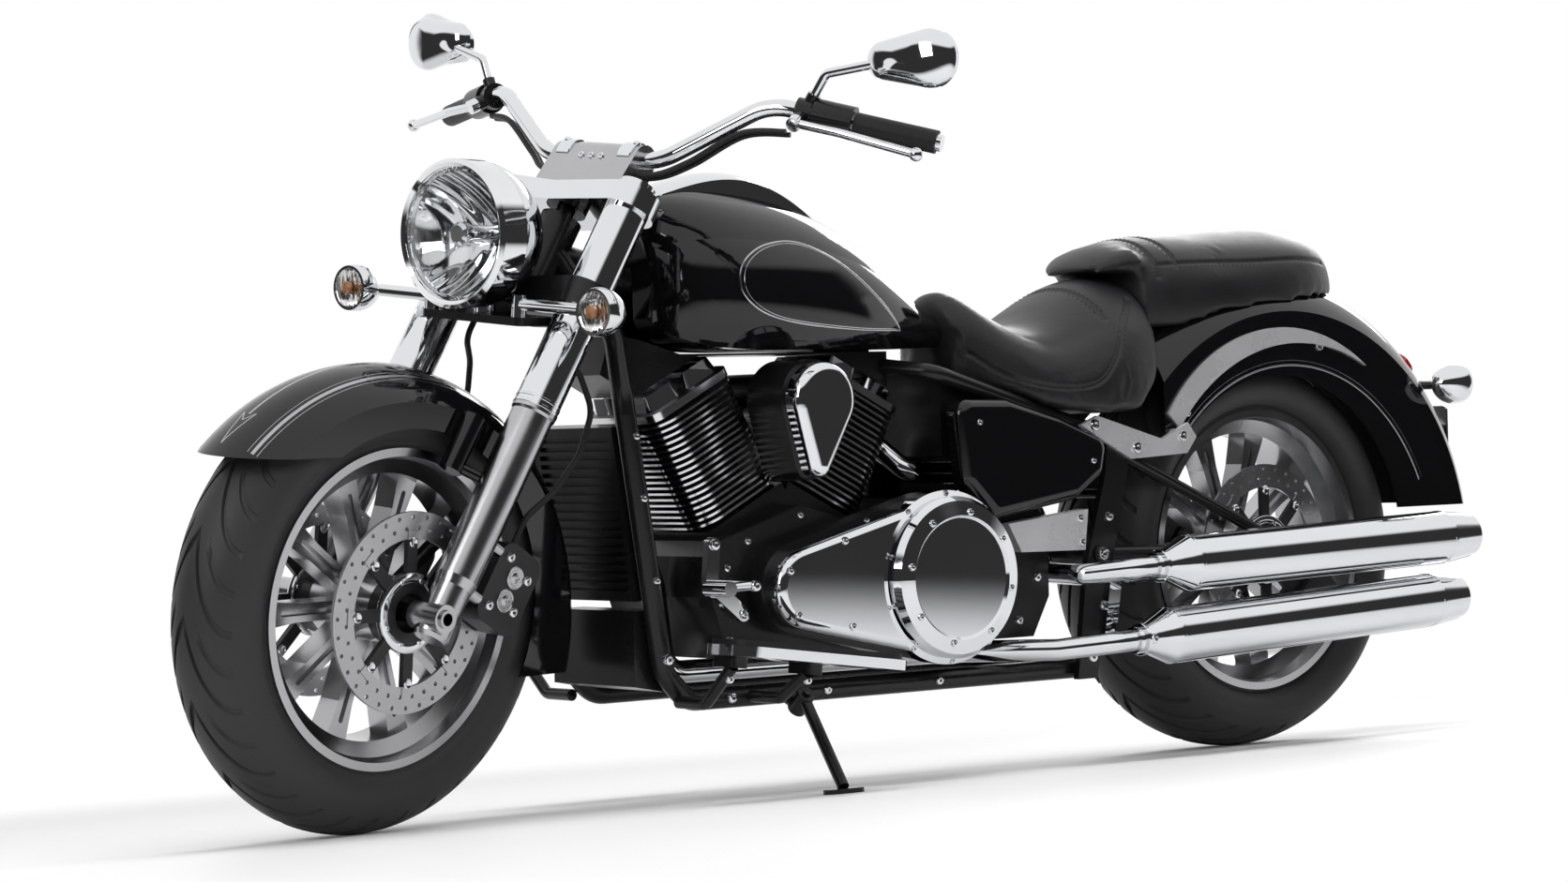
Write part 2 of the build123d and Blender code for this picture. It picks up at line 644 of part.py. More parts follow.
# --- Front mudguard ---------------------------------------------------------------------------------------
# Its ring is centred below the axle, so that it stands further off the tyre at its two ends.
FRONT_GUARD_CENTRE = front_axle_point + Vector(8, 0, -45)
FRONT_GUARD_DROP = 48
FRONT_GUARD_DEPTH = 160
FRONT_GUARD_NOSE_Z = 546
FRONT_GUARD_TAIL_Z = 215
POD_X = 77
POD_Y = 95
POD_S = (202, 288)
POD_R = 17
STAY_R = 8
leg_to_pod = (Vector(POD_X, POD_Y, 0) - Vector(LEG_X, LEG_Y, 0)).normalized()
stay_end = Vector(LEG_X, LEG_Y, 0) + leg_to_pod * (SLIDER_R + SEAT_GAP)
with BuildPart() as front_mudguard:
    guard_form(
        wheel_section(FRONT_GUARD_CENTRE),
        spin_axis(FRONT_GUARD_CENTRE),
        FRONT_GUARD_HALF,
        FRONT_GUARD_R,
        FRONT_GUARD_DROP,
        FRONT_GUARD_DEPTH,
    )
    with BuildSketch(side_plane(0)):
        with BuildLine():
            Polyline(
                (front_axle_point.X, FRONT_GUARD_NOSE_Z),
                (front_axle_point.X + 500, FRONT_GUARD_NOSE_Z),
                (front_axle_point.X + 500, 900),
                (front_axle_point.X - 500, 900),
                (front_axle_point.X - 500, FRONT_GUARD_TAIL_Z),
                (front_axle_point.X, FRONT_GUARD_TAIL_Z),
                close=True,
            )
        make_face()
        with Locations((front_axle_point.X, front_axle_point.Z)):
            Circle(FRONT_GUARD_LIP_R, mode=Mode.SUBTRACT)
    extrude(amount=200, both=True, mode=Mode.INTERSECT)
    for side in (1, -1):
        pod = (fork_point(POD_X, side * POD_Y, POD_S[0]), fork_point(POD_X, side * POD_Y, POD_S[1]))
        tube(pod, POD_R)
        stay_s = POD_S[0] + STAY_R + 2
        tube((fork_point(POD_X, side * POD_Y, stay_s), fork_point(stay_end.X, side * stay_end.Y, stay_s)), STAY_R)
    with BuildSketch(wheel_section(FRONT_GUARD_CENTRE)) as guard_inside:
        with BuildLine():
            inner_half = FRONT_GUARD_HALF - GUARD_WALL
            inner_spring = FRONT_GUARD_R - FRONT_GUARD_DROP
            ThreePointArc((-inner_half, inner_spring), (0, FRONT_GUARD_R - GUARD_WALL), (inner_half, inner_spring))
            Polyline((inner_half, inner_spring), (inner_half, 0), (-inner_half, 0), (-inner_half, inner_spring))
        make_face()
    revolve(profiles=guard_inside.sketch, axis=spin_axis(FRONT_GUARD_CENTRE), mode=Mode.SUBTRACT)
front_mudguard.part.label = "front_mudguard"
front_mudguard.part.move(PARKED_FRONT)
export_step(front_mudguard.part, "parts/front_mudguard.step")

# --- Front brakes ---------------------------------------------------------------------------------
CALIPER_S = (38, 160)
CALIPER_Y = (FRONT_DISC_Y - 22, LEG_Y + 6)
lug_end_x = LEG_X - SLIDER_R - LUG_REACH / 2
with BuildPart() as calipers:
    for side in (1, -1):
        middle = fork_point(lug_end_x - SEAT_GAP - 43, side * sum(CALIPER_Y) / 2, sum(CALIPER_S) / 2)
        with BuildSketch(Plane(origin=middle, x_dir=up_steer, z_dir=(0, 1, 0))):
            RectangleRounded(CALIPER_S[1] - CALIPER_S[0], 86, 22)
        extrude(amount=(CALIPER_Y[1] - CALIPER_Y[0]) / 2, both=True)
        slot_face = front_axle_point + Vector(0, side * FRONT_DISC_Y, 0)
        with BuildSketch(Plane(origin=slot_face, x_dir=(1, 0, 0), z_dir=(0, -1, 0))):
            Circle(DISC_R + RUNNING)
        extrude(amount=DISC_THICK / 2 + RUNNING, both=True, mode=Mode.SUBTRACT)
calipers.part.label = "front_calipers"
calipers.part.move(PARKED_FRONT)
export_step(calipers.part, "parts/front_calipers.step")

# --- Headlamp and front indicators ----------------------------------------------------------------


def round_cap(edge, top):
    """Draws a round cap from its edge, given as (along, radius), to its top on the axis."""
    rise = abs(top - edge[0])
    cap_radius = (edge[1] ** 2 + rise**2) / (2 * rise)
    half_turn = atan2(edge[1], cap_radius - rise) / 2
    facing = 1 if top > edge[0] else -1
    middle = (
        top - facing * cap_radius * (1 - cos(half_turn)),
        cap_radius * sin(half_turn),
    )
    ThreePointArc(edge, middle, (top, 0))


LAMP_BACK = 143
RING_DEEP = 46
BOWL_DEEP = 96
LENS_R = 95
LENS_THICK = 4
LENS_BULGE = 14
lamp_axis = Axis(LAMP_CENTRE, (1, 0, 0))
lamp_plane = Plane(origin=LAMP_CENTRE, x_dir=(1, 0, 0), z_dir=(0, -1, 0))
with BuildPart() as headlamp_ring:
    with BuildSketch(lamp_plane):
        with BuildLine():
            Polyline((0, LENS_R + 0.5), (4, LENS_R + 6), (-2, LAMP_R), (-RING_DEEP, LAMP_R - 1))
            Polyline((-RING_DEEP, LAMP_R - 1), (-RING_DEEP, LAMP_R - 7), (-24, LAMP_R - 7))
            ThreePointArc((-24, LAMP_R - 7), (-64, 66), (-BOWL_DEEP - 5, 22))
            Polyline((-BOWL_DEEP - 5, 22), (-BOWL_DEEP - 5, 0), (-BOWL_DEEP, 0), (-BOWL_DEEP, 19))
            ThreePointArc((-BOWL_DEEP, 19), (-58, 62), (-14, LENS_R - 6))
            Polyline((-14, LENS_R - 6), (-14, LENS_R + 0.5), (0, LENS_R + 0.5))
        make_face()
    revolve(axis=lamp_axis)
    tube((LAMP_CENTRE - Vector(BOWL_DEEP + 1, 0, 0), LAMP_CENTRE - Vector(34, 0, 0)), 13)
headlamp_ring.part.label = "headlamp_ring"
headlamp_ring.part.move(PARKED_FRONT)
export_step(headlamp_ring.part, "parts/headlamp_ring.step")

with BuildPart() as headlamp_shell:
    with BuildSketch(lamp_plane):
        with BuildLine():
            seat_x = -RING_DEEP - SEAT_GAP
            Line((seat_x, LAMP_R - 8), (seat_x, LAMP_R - 1))
            ThreePointArc((seat_x, LAMP_R - 1), (-LAMP_BACK + 30, LAMP_R * 0.66), (-LAMP_BACK, 0))
            Line((-LAMP_BACK, 0), (-LAMP_BACK + 7, 0))
            ThreePointArc((-LAMP_BACK + 7, 0), (-LAMP_BACK + 35, LAMP_R * 0.62), (seat_x, LAMP_R - 8))
        make_face()
    revolve(axis=lamp_axis)
    lamp_foot = Vector(LAMP_CENTRE.X - 72, 0, LAMP_PLATE["z"][1] + SEAT_GAP)
    tube((lamp_foot, lamp_foot + Vector(0, 0, 26)), 16)
headlamp_shell.part.label = "headlamp_shell"
headlamp_shell.part.move(PARKED_FRONT)
export_step(headlamp_shell.part, "parts/headlamp_shell.step")

with BuildPart() as headlamp_lens:
    with BuildSketch(lamp_plane):
        with BuildLine():
            Polyline(
                (0, LENS_R),
                (-14 + SEAT_GAP, LENS_R),
                (-14 + SEAT_GAP, LENS_R - LENS_THICK),
                (-LENS_THICK, LENS_R - LENS_THICK),
            )
            round_cap((-LENS_THICK, LENS_R - LENS_THICK), LENS_BULGE - LENS_THICK)
            Line((LENS_BULGE - LENS_THICK, 0), (LENS_BULGE, 0))
            round_cap((0, LENS_R), LENS_BULGE)
        make_face()
    revolve(axis=lamp_axis)
headlamp_lens.part.label = "headlamp_lens"
headlamp_lens.part.move(PARKED_FRONT)
export_step(headlamp_lens.part, "parts/headlamp_lens.step")


def indicator_shell(centre, facing):
    """Adds a bullet lamp body round the centre, open towards its lens."""
    middle = Plane(origin=centre, x_dir=(facing, 0, 0), z_dir=(0, -facing, 0))
    with BuildSketch(middle) as bullet:
        with BuildLine():
            Polyline((18, 0), (18, INDICATOR_R - 4), (24, INDICATOR_R - 4), (24, INDICATOR_R))
            ThreePointArc((24, INDICATOR_R), (-18, INDICATOR_R * 0.74), (-34, 0))
            Line((-34, 0), (18, 0))
        make_face()
    revolve(profiles=bullet.sketch, axis=Axis(centre, (1, 0, 0)))


def indicator_lens(centre, facing):
    """Adds the domed lens of a bullet lamp."""
    middle = Plane(origin=centre, x_dir=(facing, 0, 0), z_dir=(0, -facing, 0))
    with BuildSketch(middle) as dome:
        with BuildLine():
            Polyline((18 + SEAT_GAP, 0), (18 + SEAT_GAP, INDICATOR_R - 4 - SEAT_GAP), (24, INDICATOR_R - 4 - SEAT_GAP))
            round_cap((24, INDICATOR_R - 4 - SEAT_GAP), 34)
            Line((34, 0), (18 + SEAT_GAP, 0))
        make_face()
    revolve(profiles=dome.sketch, axis=Axis(centre, (1, 0, 0)))


STALK_X = LAMP_PLATE["x"][1] - 12
with BuildPart() as front_indicators:
    for side in (1, -1):
        foot = Vector(STALK_X, side * (LAMP_PLATE["half"] - 12), LAMP_PLATE["z"][1] + SEAT_GAP)
        bend = Vector(STALK_X, foot.Y, INDICATOR_CENTRE.Z)
        lamp = Vector(INDICATOR_CENTRE.X, side * INDICATOR_CENTRE.Y, INDICATOR_CENTRE.Z)
        tube((foot, bend + Vector(0, 0, 13)), 11)
        tube((bend, lamp), 9)
        indicator_shell(lamp, 1)
front_indicators.part.label = "front_indicators"
front_indicators.part.move(PARKED_FRONT)
export_step(front_indicators.part, "parts/front_indicators.step")

with BuildPart() as front_indicator_lenses:
    for side in (1, -1):
        indicator_lens(Vector(INDICATOR_CENTRE.X, side * INDICATOR_CENTRE.Y, INDICATOR_CENTRE.Z), 1)
front_indicator_lenses.part.label = "front_indicator_lenses"
front_indicator_lenses.part.move(PARKED_FRONT)
export_step(front_indicator_lenses.part, "parts/front_indicator_lenses.step")

# --- Brake hoses: from the calipers, behind the legs, up to the lower yoke ------------------------
HOSE_R = 4.5
HOSE_ROUTE = (
    (-56, 134, CALIPER_S[1] + SEAT_GAP),
    (-57, 134, 204),
    (-88, 133, 262),
    (-104, 132, 330),
    (-94, 128, 398),
    (-56, 112, 436),
    (-12, 92, 452),
    (-11, 91, LOWER_YOKE[0] - SEAT_GAP),
)
HOSE_BENDS = [50, 60, 70, 50, 45, 23]
with BuildPart() as brake_hoses:
    for side in (1, -1):
        tube([fork_point(x, side * y, s) for x, y, s in HOSE_ROUTE], HOSE_R, HOSE_BENDS)
brake_hoses.part.label = "brake_hoses"
brake_hoses.part.move(PARKED_FRONT)
export_step(brake_hoses.part, "parts/brake_hoses.step")

# --- Frame ----------------------------------------------------------------------------------------
HEAD_LOW = fork_point(0, 0, HEAD_TUBE[0])
HEAD_HIGH = fork_point(0, 0, HEAD_TUBE[1])
BACKBONE_FRONT = fork_point(0, 0, HEAD_TUBE[0] + 50)
BACKBONE_TAIL = Vector(-70, 0, 672)
DOWN_START = fork_point(-6, 16, HEAD_TUBE[0] + 54)
DOWN_NECK = Vector(446, 66, 700)
DOWN_TOP = Vector(470, RAIL_Y, 600)
DOWN_BOTTOM = Vector(412, RAIL_Y, 205)
RAIL_FRONT = Vector(372, RAIL_Y, RAIL_Z)
RAIL_BACK = Vector(-395, RAIL_Y, RAIL_Z)
SEAT_RAIL_START = Vector(-70, 0, 654)
SEAT_RAIL_NECK = Vector(-72, 60, 644)
SEAT_RAIL_FRONT = Vector(-110, SEAT_RAIL_Y, 634)
SEAT_RAIL_BACK = Vector(-500, SEAT_RAIL_Y, 518)
PLATE_OUTLINE = (
    (-452, 545),
    (-500, 530),
    (-492, 470),
    (-455, 330),
    (-415, 146),
    (-375, 146),
    (-400, 330),
    (-445, 470),
)
SPINE_OUTLINE = (
    (-78, 669),
    (-78, 613),
    (34, 666),
    (286, 666),
    (404, 607),
    (466, 640),
    (446, 700),
    (392, 690),
    (320, 669),
)
SPINE_HALF = 56
PIVOT = Vector(-428, 0, 342)
PIVOT_R = 14
STAND_EYE = Vector(196, 172, 156)
STAND_EYE_R = 14
STAND_EYE_DEPTH = 20
STAND_FOOT = Vector(217, 285, 33)
STAND_FOLDED = Vector(-1, 0, 0.02).normalized()
STAND_PIN_R = 6

stand_down = (STAND_FOOT - STAND_EYE).normalized()
stand_hinge = stand_down.cross(STAND_FOLDED).normalized()
stand_face = STAND_EYE - stand_hinge * (STAND_EYE_DEPTH / 2)
with BuildPart() as main_frame:
    for side in (1, -1):
        spot = Vector if side == 1 else flip
        down_run = (DOWN_START, DOWN_NECK, DOWN_TOP, DOWN_BOTTOM, RAIL_FRONT, RAIL_BACK)
        tube([spot(p) for p in down_run], RAIL_R, [60, 60, 45, 45])
        seat_run = (SEAT_RAIL_START, SEAT_RAIL_NECK, SEAT_RAIL_FRONT, SEAT_RAIL_BACK)
        tube([spot(p) for p in seat_run], SEAT_RAIL_R, [25, 30])
        with BuildSketch(side_plane(side * sum(PLATE_Y) / 2)):
            with BuildLine():
                Polyline(*PLATE_OUTLINE, close=True)
            make_face()
        extrude(amount=(PLATE_Y[1] - PLATE_Y[0]) / 2, both=True)
    tube((BACKBONE_FRONT, BACKBONE_TAIL), BACKBONE_R)
    with BuildSketch(side_plane(0)):
        with BuildLine():
            Polyline(*SPINE_OUTLINE, close=True)
        make_face()
    extrude(amount=SPINE_HALF, both=True)
    tube((HEAD_LOW, HEAD_HIGH), HEAD_TUBE_R)
    bore(HEAD_LOW - up_steer, HEAD_HIGH + up_steer, STEM_R + FIT)
    plate_gap = Vector(0, PLATE_Y[0] - RAIL_Y + 1, 0)
    tube((RAIL_BACK + plate_gap, flip(RAIL_BACK) - plate_gap), RAIL_R)
    rail_end = along(SEAT_RAIL_FRONT, SEAT_RAIL_BACK, 0.93)
    tube((rail_end + Vector(0, 12, 0), flip(rail_end) - Vector(0, 12, 0)), SEAT_RAIL_R)
    tube((PIVOT - Vector(0, PLATE_Y[1] + 4, 0), PIVOT + Vector(0, PLATE_Y[1] + 4, 0)), PIVOT_R)
    tube((stand_face - stand_hinge * 16, stand_face - stand_hinge * SEAT_GAP), STAND_EYE_R)
    tube((Vector(STAND_EYE.X, RAIL_Y, RAIL_Z - 2), stand_face - stand_hinge * 9), STAND_EYE_R - 6)
    tube((stand_face - stand_hinge * 8, stand_face + stand_hinge * (STAND_EYE_DEPTH + 5)), STAND_PIN_R)
main_frame.part.label = "main_frame"
main_frame.part.move(PARKED)
export_step(main_frame.part, "parts/main_frame.step")

# --- Swingarm with its shaft housing, rear axle ---------------------------------------------------
STRUT_TOP = Vector(-500, ARM_Y, 498)
STRUT_BOTTOM = rear_axle_point + Vector(38, ARM_Y, 30)
ARM_FRONT_X = -438
STRUT_R = 10
HOUSING_R = 24
HOUSING_Y = 116
HOUSING_X = (rear_axle_point.X + 150, rear_axle_point.X + 15)
LUG_R = 34
FINAL_DRIVE_Y = (REAR_HUB_HALF + RUNNING, 130)
FINAL_DRIVE_R = 80
arm_front = Vector(ARM_FRONT_X, ARM_Y, PIVOT.Z)
arm_back = Vector(rear_axle_point.X, ARM_Y, REAR_TYRE_R)
with BuildPart() as swingarm:
    housing_front = Vector(HOUSING_X[0], -HOUSING_Y, REAR_TYRE_R + 4)
    housing_back = Vector(HOUSING_X[1], -HOUSING_Y, REAR_TYRE_R)
    tube((arm_front, arm_back), ARM_R)
    tube((flip(arm_front), Vector(HOUSING_X[0] - 15, -ARM_Y, REAR_TYRE_R + 5)), ARM_R)
    for spot in (Vector, flip):
        tube((spot(STRUT_TOP), spot(STRUT_BOTTOM), spot(arm_back)), STRUT_R, 40)
        tube((spot(arm_front), spot(STRUT_TOP)), STRUT_R - 1)
    strut_cross = along(arm_front, STRUT_TOP, 0.6)
    tube((strut_cross, flip(strut_cross)), STRUT_R - 2)
    pivot_end = Vector(0, PLATE_Y[0] - SEAT_GAP, 0)
    tube((PIVOT - pivot_end, PIVOT + pivot_end), PIVOT_R + 8)
    tube((arm_back - Vector(0, ARM_R, 0), arm_back + Vector(0, ARM_R, 0)), LUG_R)
    drive_outer = rear_axle_point - Vector(0, FINAL_DRIVE_Y[1], 0)
    tube((rear_axle_point - Vector(0, FINAL_DRIVE_Y[0], 0), drive_outer), FINAL_DRIVE_R)
    tube((drive_outer, drive_outer - Vector(0, 10, 0)), FINAL_DRIVE_R - 22)
    tube((housing_front, housing_back), HOUSING_R)
    bore(PIVOT - Vector(0, 200, 0), PIVOT + Vector(0, 200, 0), PIVOT_R + FIT)
    bore(rear_axle_point - Vector(0, 200, 0), rear_axle_point + Vector(0, 200, 0), AXLE_R + FIT)
swingarm.part.label = "swingarm"
swingarm.part.move(PARKED)
export_step(swingarm.part, "parts/swingarm.step")

REAR_AXLE_END = ARM_Y + ARM_R + 14
with BuildPart() as rear_axle:
    tube((rear_axle_point - Vector(0, REAR_AXLE_END, 0), rear_axle_point + Vector(0, REAR_AXLE_END, 0)), AXLE_R)
    bore(
        rear_axle_point - Vector(0, REAR_AXLE_END + 1, 0),
        rear_axle_point + Vector(0, REAR_AXLE_END + 1, 0),
        AXLE_BORE_R,
    )
rear_axle.part.label = "rear_axle"
rear_axle.part.move(PARKED)
export_step(rear_axle.part, "parts/rear_axle.step")

REAR_CALIPER_OFF = Vector(-92, 0, -92)
CALIPER_LINK_Y = (REAR_DISC_Y + DISC_THICK / 2 + RUNNING, ARM_Y - ARM_R - SEAT_GAP)
with BuildPart() as rear_caliper:
    caliper_middle = rear_axle_point + REAR_CALIPER_OFF + Vector(0, REAR_DISC_Y, 0)
    with BuildSketch(Plane(origin=caliper_middle, x_dir=(1, 0, 1), z_dir=(0, 1, 0))):
        RectangleRounded(74, 110, 20)
    extrude(amount=26, both=True)
    with BuildSketch(side_plane(CALIPER_LINK_Y[0])):
        with Locations((rear_axle_point.X, rear_axle_point.Z)):
            Circle(28)
        with Locations((caliper_middle.X, caliper_middle.Z)):
            Circle(22)
        make_hull()
    extrude(amount=-(CALIPER_LINK_Y[1] - CALIPER_LINK_Y[0]))
    with BuildSketch(side_plane(REAR_DISC_Y)):
        with Locations((rear_axle_point.X, rear_axle_point.Z)):
            Circle(DISC_R + RUNNING)
    extrude(amount=DISC_THICK / 2 + RUNNING, both=True, mode=Mode.SUBTRACT)
    bore(rear_axle_point, rear_axle_point + Vector(0, 200, 0), AXLE_R + FIT)
rear_caliper.part.label = "rear_caliper"
rear_caliper.part.move(PARKED)
export_step(rear_caliper.part, "parts/rear_caliper.step")

# --- Engine: crankcase, two finned cylinders at the crankcase's two decks -------------------------
DECK_AT = 168
DECK_HALF = 78
HEAD_AT = FIN_START + FINS * FIN_PITCH
HEAD_THICK = 12
PORT_AT = 325
PORT_R = 24
PORT_REACH = 92
ROCKER_HEIGHT = 24
ROCKER_SHIFT = 39
ROCKER_HALF = 32
ROCKER_LENGTH = 150
PRIMARY_FRONT = Vector(195, 0, 318)
PRIMARY_FRONT_R = 60
PRIMARY_Y = (130, 164, 198)
CASE_OUTLINE = (
    (330, 310),
    (300, CASE_BOTTOM),
    (-300, CASE_BOTTOM),
    (-335, 280),
    (-335, 400),
    (-290, 440),
    (-34, 440),
    (-12, 392),
    (160, 440),
    (312, 392),
    (330, 370),
)


def barrel_plane(lean, distance):
    """The plane across a cylinder at the distance from the crankshaft; X points forward."""
    up = Vector(sin(radians(lean)), 0, cos(radians(lean)))
    return Plane(origin=CRANK + up * distance, x_dir=(up.Z, 0, -up.X), z_dir=up)


def primary_outline(y, grow):
    """Sketches the primary drive's outline: the clutch circle drawn forward to a smaller one."""
    with BuildSketch(side_plane(y)) as outline:
        with Locations((PRIMARY_FRONT.X, PRIMARY_FRONT.Z)):
            Circle(PRIMARY_FRONT_R + grow)
        with Locations((CLUTCH_CENTRE.X, CLUTCH_CENTRE.Z)):
            Circle(CLUTCH_R - 10 + grow)
        make_hull()
    return outline.sketch


def outwards(sketch, side, amount):
    """Extrudes a side-view sketch away from the middle of the motorcycle."""
    extrude(to_extrude=sketch, amount=amount, dir=(0, side, 0))


with BuildPart() as crankcase:
    with BuildSketch(side_plane(0)):
        with BuildLine():
            Polyline(*CASE_OUTLINE, close=True)
        make_face()
    extrude(amount=CASE_HALF, both=True)
    for lean in (V_HALF, -V_HALF):
        with BuildSketch(barrel_plane(lean, 60)):
            Rectangle(2 * DECK_HALF, 2 * FIN_HALF_Y)
        extrude(amount=DECK_AT - SEAT_GAP - 60)
    for side in (1, -1):
        outwards(primary_outline(side * (PRIMARY_Y[0] - 1), 8), side, PRIMARY_Y[1] - PRIMARY_Y[0] + 1)
crankcase.part.label = "crankcase"
crankcase.part.move(PARKED)
export_step(crankcase.part, "parts/crankcase.step")

with BuildPart() as cylinders:
    for lean in (V_HALF, -V_HALF):
        with BuildSketch(barrel_plane(lean, DECK_AT)):
            Circle(BARREL_R)
        extrude(amount=HEAD_AT + HEAD_THICK - DECK_AT)
        for fin in range(FINS):
            with BuildSketch(barrel_plane(lean, FIN_START + fin * FIN_PITCH)):
                RectangleRounded(2 * FIN_HALF_X, 2 * FIN_HALF_Y, 42)
            extrude(amount=FIN_THICK)
        with BuildSketch(barrel_plane(lean, HEAD_AT)):
            RectangleRounded(2 * FIN_HALF_X - 6, 2 * FIN_HALF_Y - 14, 20)
        extrude(amount=HEAD_THICK)
        port = barrel_plane(lean, PORT_AT)
        ahead = port.x_dir * (1 if lean > 0 else -1)
        tube((port.origin, port.origin + ahead * PORT_REACH), PORT_R)
cylinders.part.label = "cylinders"
cylinders.part.move(PARKED)
export_step(cylinders.part, "parts/cylinders.step")

with BuildPart() as rocker_covers:
    for lean in (V_HALF, -V_HALF):
        with BuildSketch(barrel_plane(lean, HEAD_AT + HEAD_THICK + SEAT_GAP)):
            with Locations((ROCKER_SHIFT, 0), (-ROCKER_SHIFT, 0)):
                RectangleRounded(2 * ROCKER_HALF, ROCKER_LENGTH, 12)
        extrude(amount=ROCKER_HEIGHT, taper=14)
rocker_covers.part.label = "rocker_covers"
rocker_covers.part.move(PARKED)
export_step(rocker_covers.part, "parts/rocker_covers.step")

CLUTCH_PROFILE = (
    (0, 0),
    (CLUTCH_R, 0),
    (CLUTCH_R, 26),
    (CLUTCH_R - 9, 31),
    (CLUTCH_R - 9, 44),
    (CLUTCH_R - 16, 54),
    (CLUTCH_R - 38, 61),
    (CLUTCH_R - 42, 57),
    (0, 57),
)
with BuildPart() as primary_covers:
    for side in (1, -1):
        base_y = side * (PRIMARY_Y[1] + SEAT_GAP)
        outwards(primary_outline(base_y, 0), side, PRIMARY_Y[2] - PRIMARY_Y[1])
        rims = primary_covers.edges().group_by(Axis.Y)
        fillet(rims[-1] if side == 1 else rims[0], 14)
    bore(CLUTCH_CENTRE - Vector(0, 300, 0), CLUTCH_CENTRE + Vector(0, 300, 0), CLUTCH_R + SEAT_GAP)
    for side in (1, -1):
        base = CLUTCH_CENTRE + Vector(0, side * (PRIMARY_Y[1] + SEAT_GAP), 0)
        with BuildSketch(Plane(origin=base, x_dir=(1, 0, 0), z_dir=(0, 0, side))) as half:
            with BuildLine():
                Polyline(*CLUTCH_PROFILE, close=True)
            make_face()
        revolve(profiles=half.sketch, axis=Axis(base, (0, 1, 0)))
primary_covers.part.label = "primary_covers"
primary_covers.part.move(PARKED)
export_step(primary_covers.part, "parts/primary_covers.step")

INTAKE = Vector(160, 0, 604)
INTAKE_R = 34
MANIFOLD_R = 21
CLEANER_Y = (FIN_HALF_Y + 6, 184, 222)
CLEANER_TOP = Vector(172, 0, 596)
CLEANER_TOP_R = 56
CLEANER_TIP = Vector(184, 0, 500)
CLEANER_TIP_R = 19
CLEANER_EDGE = 17


def teardrop(y, grow):
    """Sketches the air cleaner's outline: a round top drawn down to a small tip."""
    with BuildSketch(side_plane(y)) as outline:
        with Locations((CLEANER_TOP.X, CLEANER_TOP.Z)):
            Circle(CLEANER_TOP_R + grow)
        with Locations((CLEANER_TIP.X, CLEANER_TIP.Z)):
            Circle(CLEANER_TIP_R + grow)
        make_hull()
    return outline.sketch


with BuildPart() as air_cleaner:
    tube((INTAKE + Vector(0, CLEANER_Y[0] + 4, 0), INTAKE - Vector(0, CLEANER_Y[0] + 4, 0)), INTAKE_R)
    for lean in (V_HALF, -V_HALF):
        barrel_up = barrel_plane(lean, 0).z_dir
        inlet_plane = barrel_plane(lean, (INTAKE - CRANK).dot(barrel_up))
        inwards = inlet_plane.x_dir * (-1 if lean > 0 else 1)
        tube((INTAKE, inlet_plane.origin + inwards * (FIN_HALF_X + SEAT_GAP)), MANIFOLD_R)
    for side in (1, -1):
        outwards(teardrop(side * CLEANER_Y[0], 4), side, CLEANER_Y[1] - CLEANER_Y[0])
air_cleaner.part.label = "air_cleaner"
air_cleaner.part.move(PARKED)
export_step(air_cleaner.part, "parts/air_cleaner.step")

with BuildPart() as air_cleaner_covers:
    for side in (1, -1):
        outwards(teardrop(side * (CLEANER_Y[1] + SEAT_GAP), 0), side, CLEANER_Y[2] - CLEANER_Y[1])
        rims = air_cleaner_covers.edges().group_by(Axis.Y)
        fillet(rims[-1] if side == 1 else rims[0], CLEANER_EDGE)
air_cleaner_covers.part.label = "air_cleaner_covers"
air_cleaner_covers.part.move(PARKED)
export_step(air_cleaner_covers.part, "parts/air_cleaner_covers.step")

# --- Radiator between the down tubes, with the black box under it ---------------------------------
RADIATOR_Z = (312, 566)
RADIATOR_THICK = 34
RADIATOR_FRAME = 12
RADIATOR_SLATS = 18
BOX_OUTLINE = ((450, 296), (396, 296), (384, 190), (400, 176), (452, 186))
down_slope = (DOWN_TOP - DOWN_BOTTOM).normalized()
radiator_half = RAIL_Y - RAIL_R - SEAT_GAP
radiator_share = (sum(RADIATOR_Z) / 2 - DOWN_BOTTOM.Z) / (DOWN_TOP.Z - DOWN_BOTTOM.Z)
radiator_on_tube = along(DOWN_BOTTOM, DOWN_TOP, radiator_share)
radiator_middle = Vector(radiator_on_tube.X, 0, radiator_on_tube.Z)
radiator_height = (RADIATOR_Z[1] - RADIATOR_Z[0]) / down_slope.Z
radiator_plane = Plane(origin=radiator_middle, x_dir=(0, 1, 0), z_dir=(down_slope.Z, 0, -down_slope.X))
with BuildPart() as radiator:
    with BuildSketch(radiator_plane):
        Rectangle(2 * radiator_half, radiator_height)
    extrude(amount=RADIATOR_THICK / 2, both=True)
    slat_pitch = (radiator_height - 2 * RADIATOR_FRAME) / RADIATOR_SLATS
    with BuildSketch(radiator_plane.offset(RADIATOR_THICK / 2)):
        with GridLocations(0, slat_pitch, 1, RADIATOR_SLATS):
            Rectangle(2 * (radiator_half - RADIATOR_FRAME), slat_pitch * 0.55)
    extrude(amount=-7, mode=Mode.SUBTRACT)
    with BuildSketch(side_plane(0)):
        with BuildLine():
            Polyline(*BOX_OUTLINE, close=True)
        make_face()
    extrude(amount=radiator_half, both=True)
radiator.part.label = "radiator"
radiator.part.move(PARKED)
export_step(radiator.part, "parts/radiator.step")

# --- Exhaust --------------------------------------------------------------------------------------
HEADER_R = 17
UNDER_Z = 198.5
MUFFLER_TAIL_R = 36
MUFFLER_BORE_R = 24
MUFFLER_CONE = 70
MUFFLER_LINES = (
    (Vector(-458, MUFFLER_Y, 321), Vector(-1190, MUFFLER_Y, 342)),
    (Vector(-412, MUFFLER_Y, 208), Vector(-1157, MUFFLER_Y, 239)),
)


